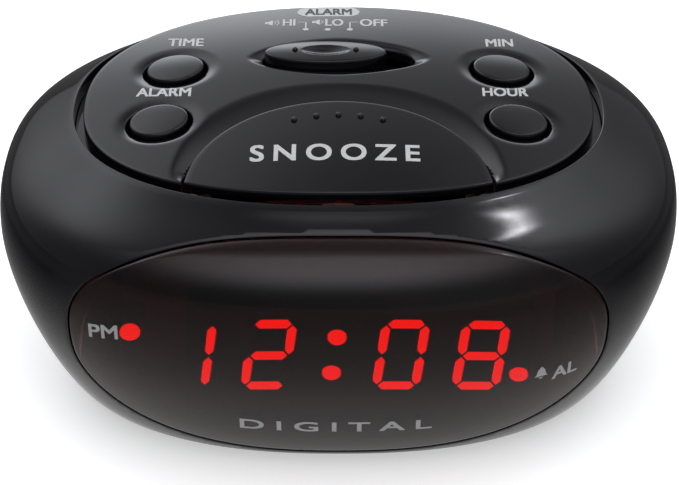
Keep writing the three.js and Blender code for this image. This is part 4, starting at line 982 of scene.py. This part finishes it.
def strip(start, end, brightness, half_length, half_width):
    """A narrow soft-edged lamp drawn across the dome from one bearing to another."""
    first, last = bearing(*start), bearing(*end)
    middle = (first + last).normalized()
    along = (last - first).normalized()
    fall = None
    for axis, reach in ((along, half_length), (middle.cross(along), half_width)):
        share = dome_math("MULTIPLY", facing(axis), 1 / reach)
        part = dome_math("MULTIPLY", share, share)
        fall = part if fall is None else dome_math("ADD", fall, part)
    bright = dome_math("EXPONENT", dome_math("MULTIPLY", fall, -1))
    return dome_math("MULTIPLY", bright, dome_math("MULTIPLY", cut_off(middle, 0, 0.5), brightness))


STUDIO_GLOWS = (
    (-36, 38, 1.2, 10),
    (0, 48, -0.42, 45),
    (-58, 49, 0.8, 40),
    (52, 47, 0.75, 10),
    (62, 55, 0.5, 60),
    (150, 12, 0.12, 5),
    (-4, 17, 1.7, 110),
    (-14, 16, 1.2, 110),
    (9, 16, 1.3, 110),
)
studio_light = 0.15
for lobe in STUDIO_GLOWS:
    studio_light = dome_math("ADD", glow(*lobe), studio_light)
studio_light = dome_math("ADD", strip((65.5, 62.5), (72, 70), 24, 0.055, 0.0075), studio_light)
studio_light = dome_math("ADD", glow(66, 64, 0.9, 140), studio_light)
front_box = dome_math("MULTIPLY", glow(180, 76, 1.35, 11), cut_off((0, -1, 0), -0.03, 0.05))
studio_light = dome_math("ADD", front_box, studio_light)
dome["Background"].inputs["Color"].default_value = (0.94, 0.95, 1.0, 1)
dome_links.new(studio_light, dome["Background"].inputs["Strength"])

overhead = bpy.data.lights.new("overhead_fill", "AREA")
overhead.shape, overhead.size, overhead.size_y = "RECTANGLE", 2.0, 2.0
overhead.energy = 17
overhead_holder = bpy.data.objects.new("overhead_fill", overhead)
overhead_holder.location = (0, 0, 1.5)
overhead_holder.visible_camera = overhead_holder.visible_glossy = False
bpy.context.scene.collection.objects.link(overhead_holder)

# The polished walls see this sheet in the table's place: bright beside the clock and falling off
# to dark further out. Nothing but a reflection shows it.
OUTLINE_REACH = 0.25
cloth_mesh = bmesh.new()
bmesh.ops.create_grid(cloth_mesh, x_segments=1, y_segments=1, size=4000)
bmesh.ops.translate(cloth_mesh, vec=(0, 0, 0.4), verts=cloth_mesh.verts)
cloth = as_object("black_cloth", cloth_mesh)
velvet = bpy.data.materials.new("black_velvet")
velvet.use_nodes = True
velvet_nodes, velvet_links = velvet.node_tree.nodes, velvet.node_tree.links
velvet_nodes.clear()
table_place = velvet_nodes.new("ShaderNodeTexCoord")
table_scale = velvet_nodes.new("ShaderNodeMapping")
table_scale.inputs["Scale"].default_value = (
    OUTLINE_REACH / (HALF_WIDTH * MM), OUTLINE_REACH / (HALF_DEPTH * MM), 0,
)
table_reach = velvet_nodes.new("ShaderNodeVectorMath")
table_reach.operation = "LENGTH"
table_axis = velvet_nodes.new("ShaderNodeSeparateXYZ")
table_front = velvet_nodes.new("ShaderNodeMath")
table_front.operation = "DIVIDE"
table_side = velvet_nodes.new("ShaderNodeMapRange")
table_side.inputs["From Min"].default_value, table_side.inputs["From Max"].default_value = -0.85, -0.2
table_side.inputs["To Min"].default_value, table_side.inputs["To Max"].default_value = 0.0, 1.0


def table_ramp(*stops):
    """Brightness of the table by its reach from the middle, where 0.25 is the clock's outline."""
    ramp = velvet_nodes.new("ShaderNodeValToRGB")
    while len(ramp.color_ramp.elements) < len(stops):
        ramp.color_ramp.elements.new(1.0)
    for element, (reach, tone) in zip(ramp.color_ramp.elements, stops):
        element.position, element.color = reach, (tone, tone, tone, 1)
    velvet_links.new(table_reach.outputs["Value"], ramp.inputs["Fac"])
    return ramp.outputs["Color"]


in_front = table_ramp((0.21, 0.7), (0.26, 0.56), (0.3, 0.41), (0.35, 0.32), (0.45, 0.27), (0.8, 0.2))
at_sides = table_ramp(
    (0.21, 0.5), (0.26, 0.37), (0.33, 0.23), (0.39, 0.16), (0.46, 0.1), (0.6, 0.05), (0.9, 0.1)
)
table_mix = velvet_nodes.new("ShaderNodeMix")
table_mix.data_type = "RGBA"
dark = velvet_nodes.new("ShaderNodeEmission")
table_out = velvet_nodes.new("ShaderNodeOutputMaterial")
velvet_links.new(table_place.outputs["Object"], table_scale.inputs["Vector"])
velvet_links.new(table_scale.outputs["Vector"], table_reach.inputs[0])
velvet_links.new(table_scale.outputs["Vector"], table_axis.inputs["Vector"])
velvet_links.new(table_axis.outputs["Y"], table_front.inputs[0])
velvet_links.new(table_reach.outputs["Value"], table_front.inputs[1])
velvet_links.new(table_front.outputs["Value"], table_side.inputs["Value"])
velvet_links.new(table_side.outputs["Result"], table_mix.inputs["Factor"])
velvet_links.new(in_front, table_mix.inputs["A"])
velvet_links.new(at_sides, table_mix.inputs["B"])
velvet_links.new(table_mix.outputs["Result"], dark.inputs["Color"])
velvet_links.new(dark.outputs["Emission"], table_out.inputs["Surface"])
cloth.data.materials.append(velvet)
cloth.visible_camera = cloth.visible_diffuse = cloth.visible_shadow = cloth.visible_transmission = False

camera_data = bpy.data.cameras.new("camera")
camera_data.sensor_width, camera_data.lens = 36, 123.963
camera_data.clip_start, camera_data.clip_end = 0.01, 50
camera = bpy.data.objects.new("camera", camera_data)
camera.location = (0.0002, -0.41198, 0.2588)
camera.rotation_euler = (math.radians(90 - 29.725), 0, 0)
bpy.context.scene.collection.objects.link(camera)
bpy.context.scene.camera = camera
bpy.context.scene.view_settings.view_transform = "Standard"
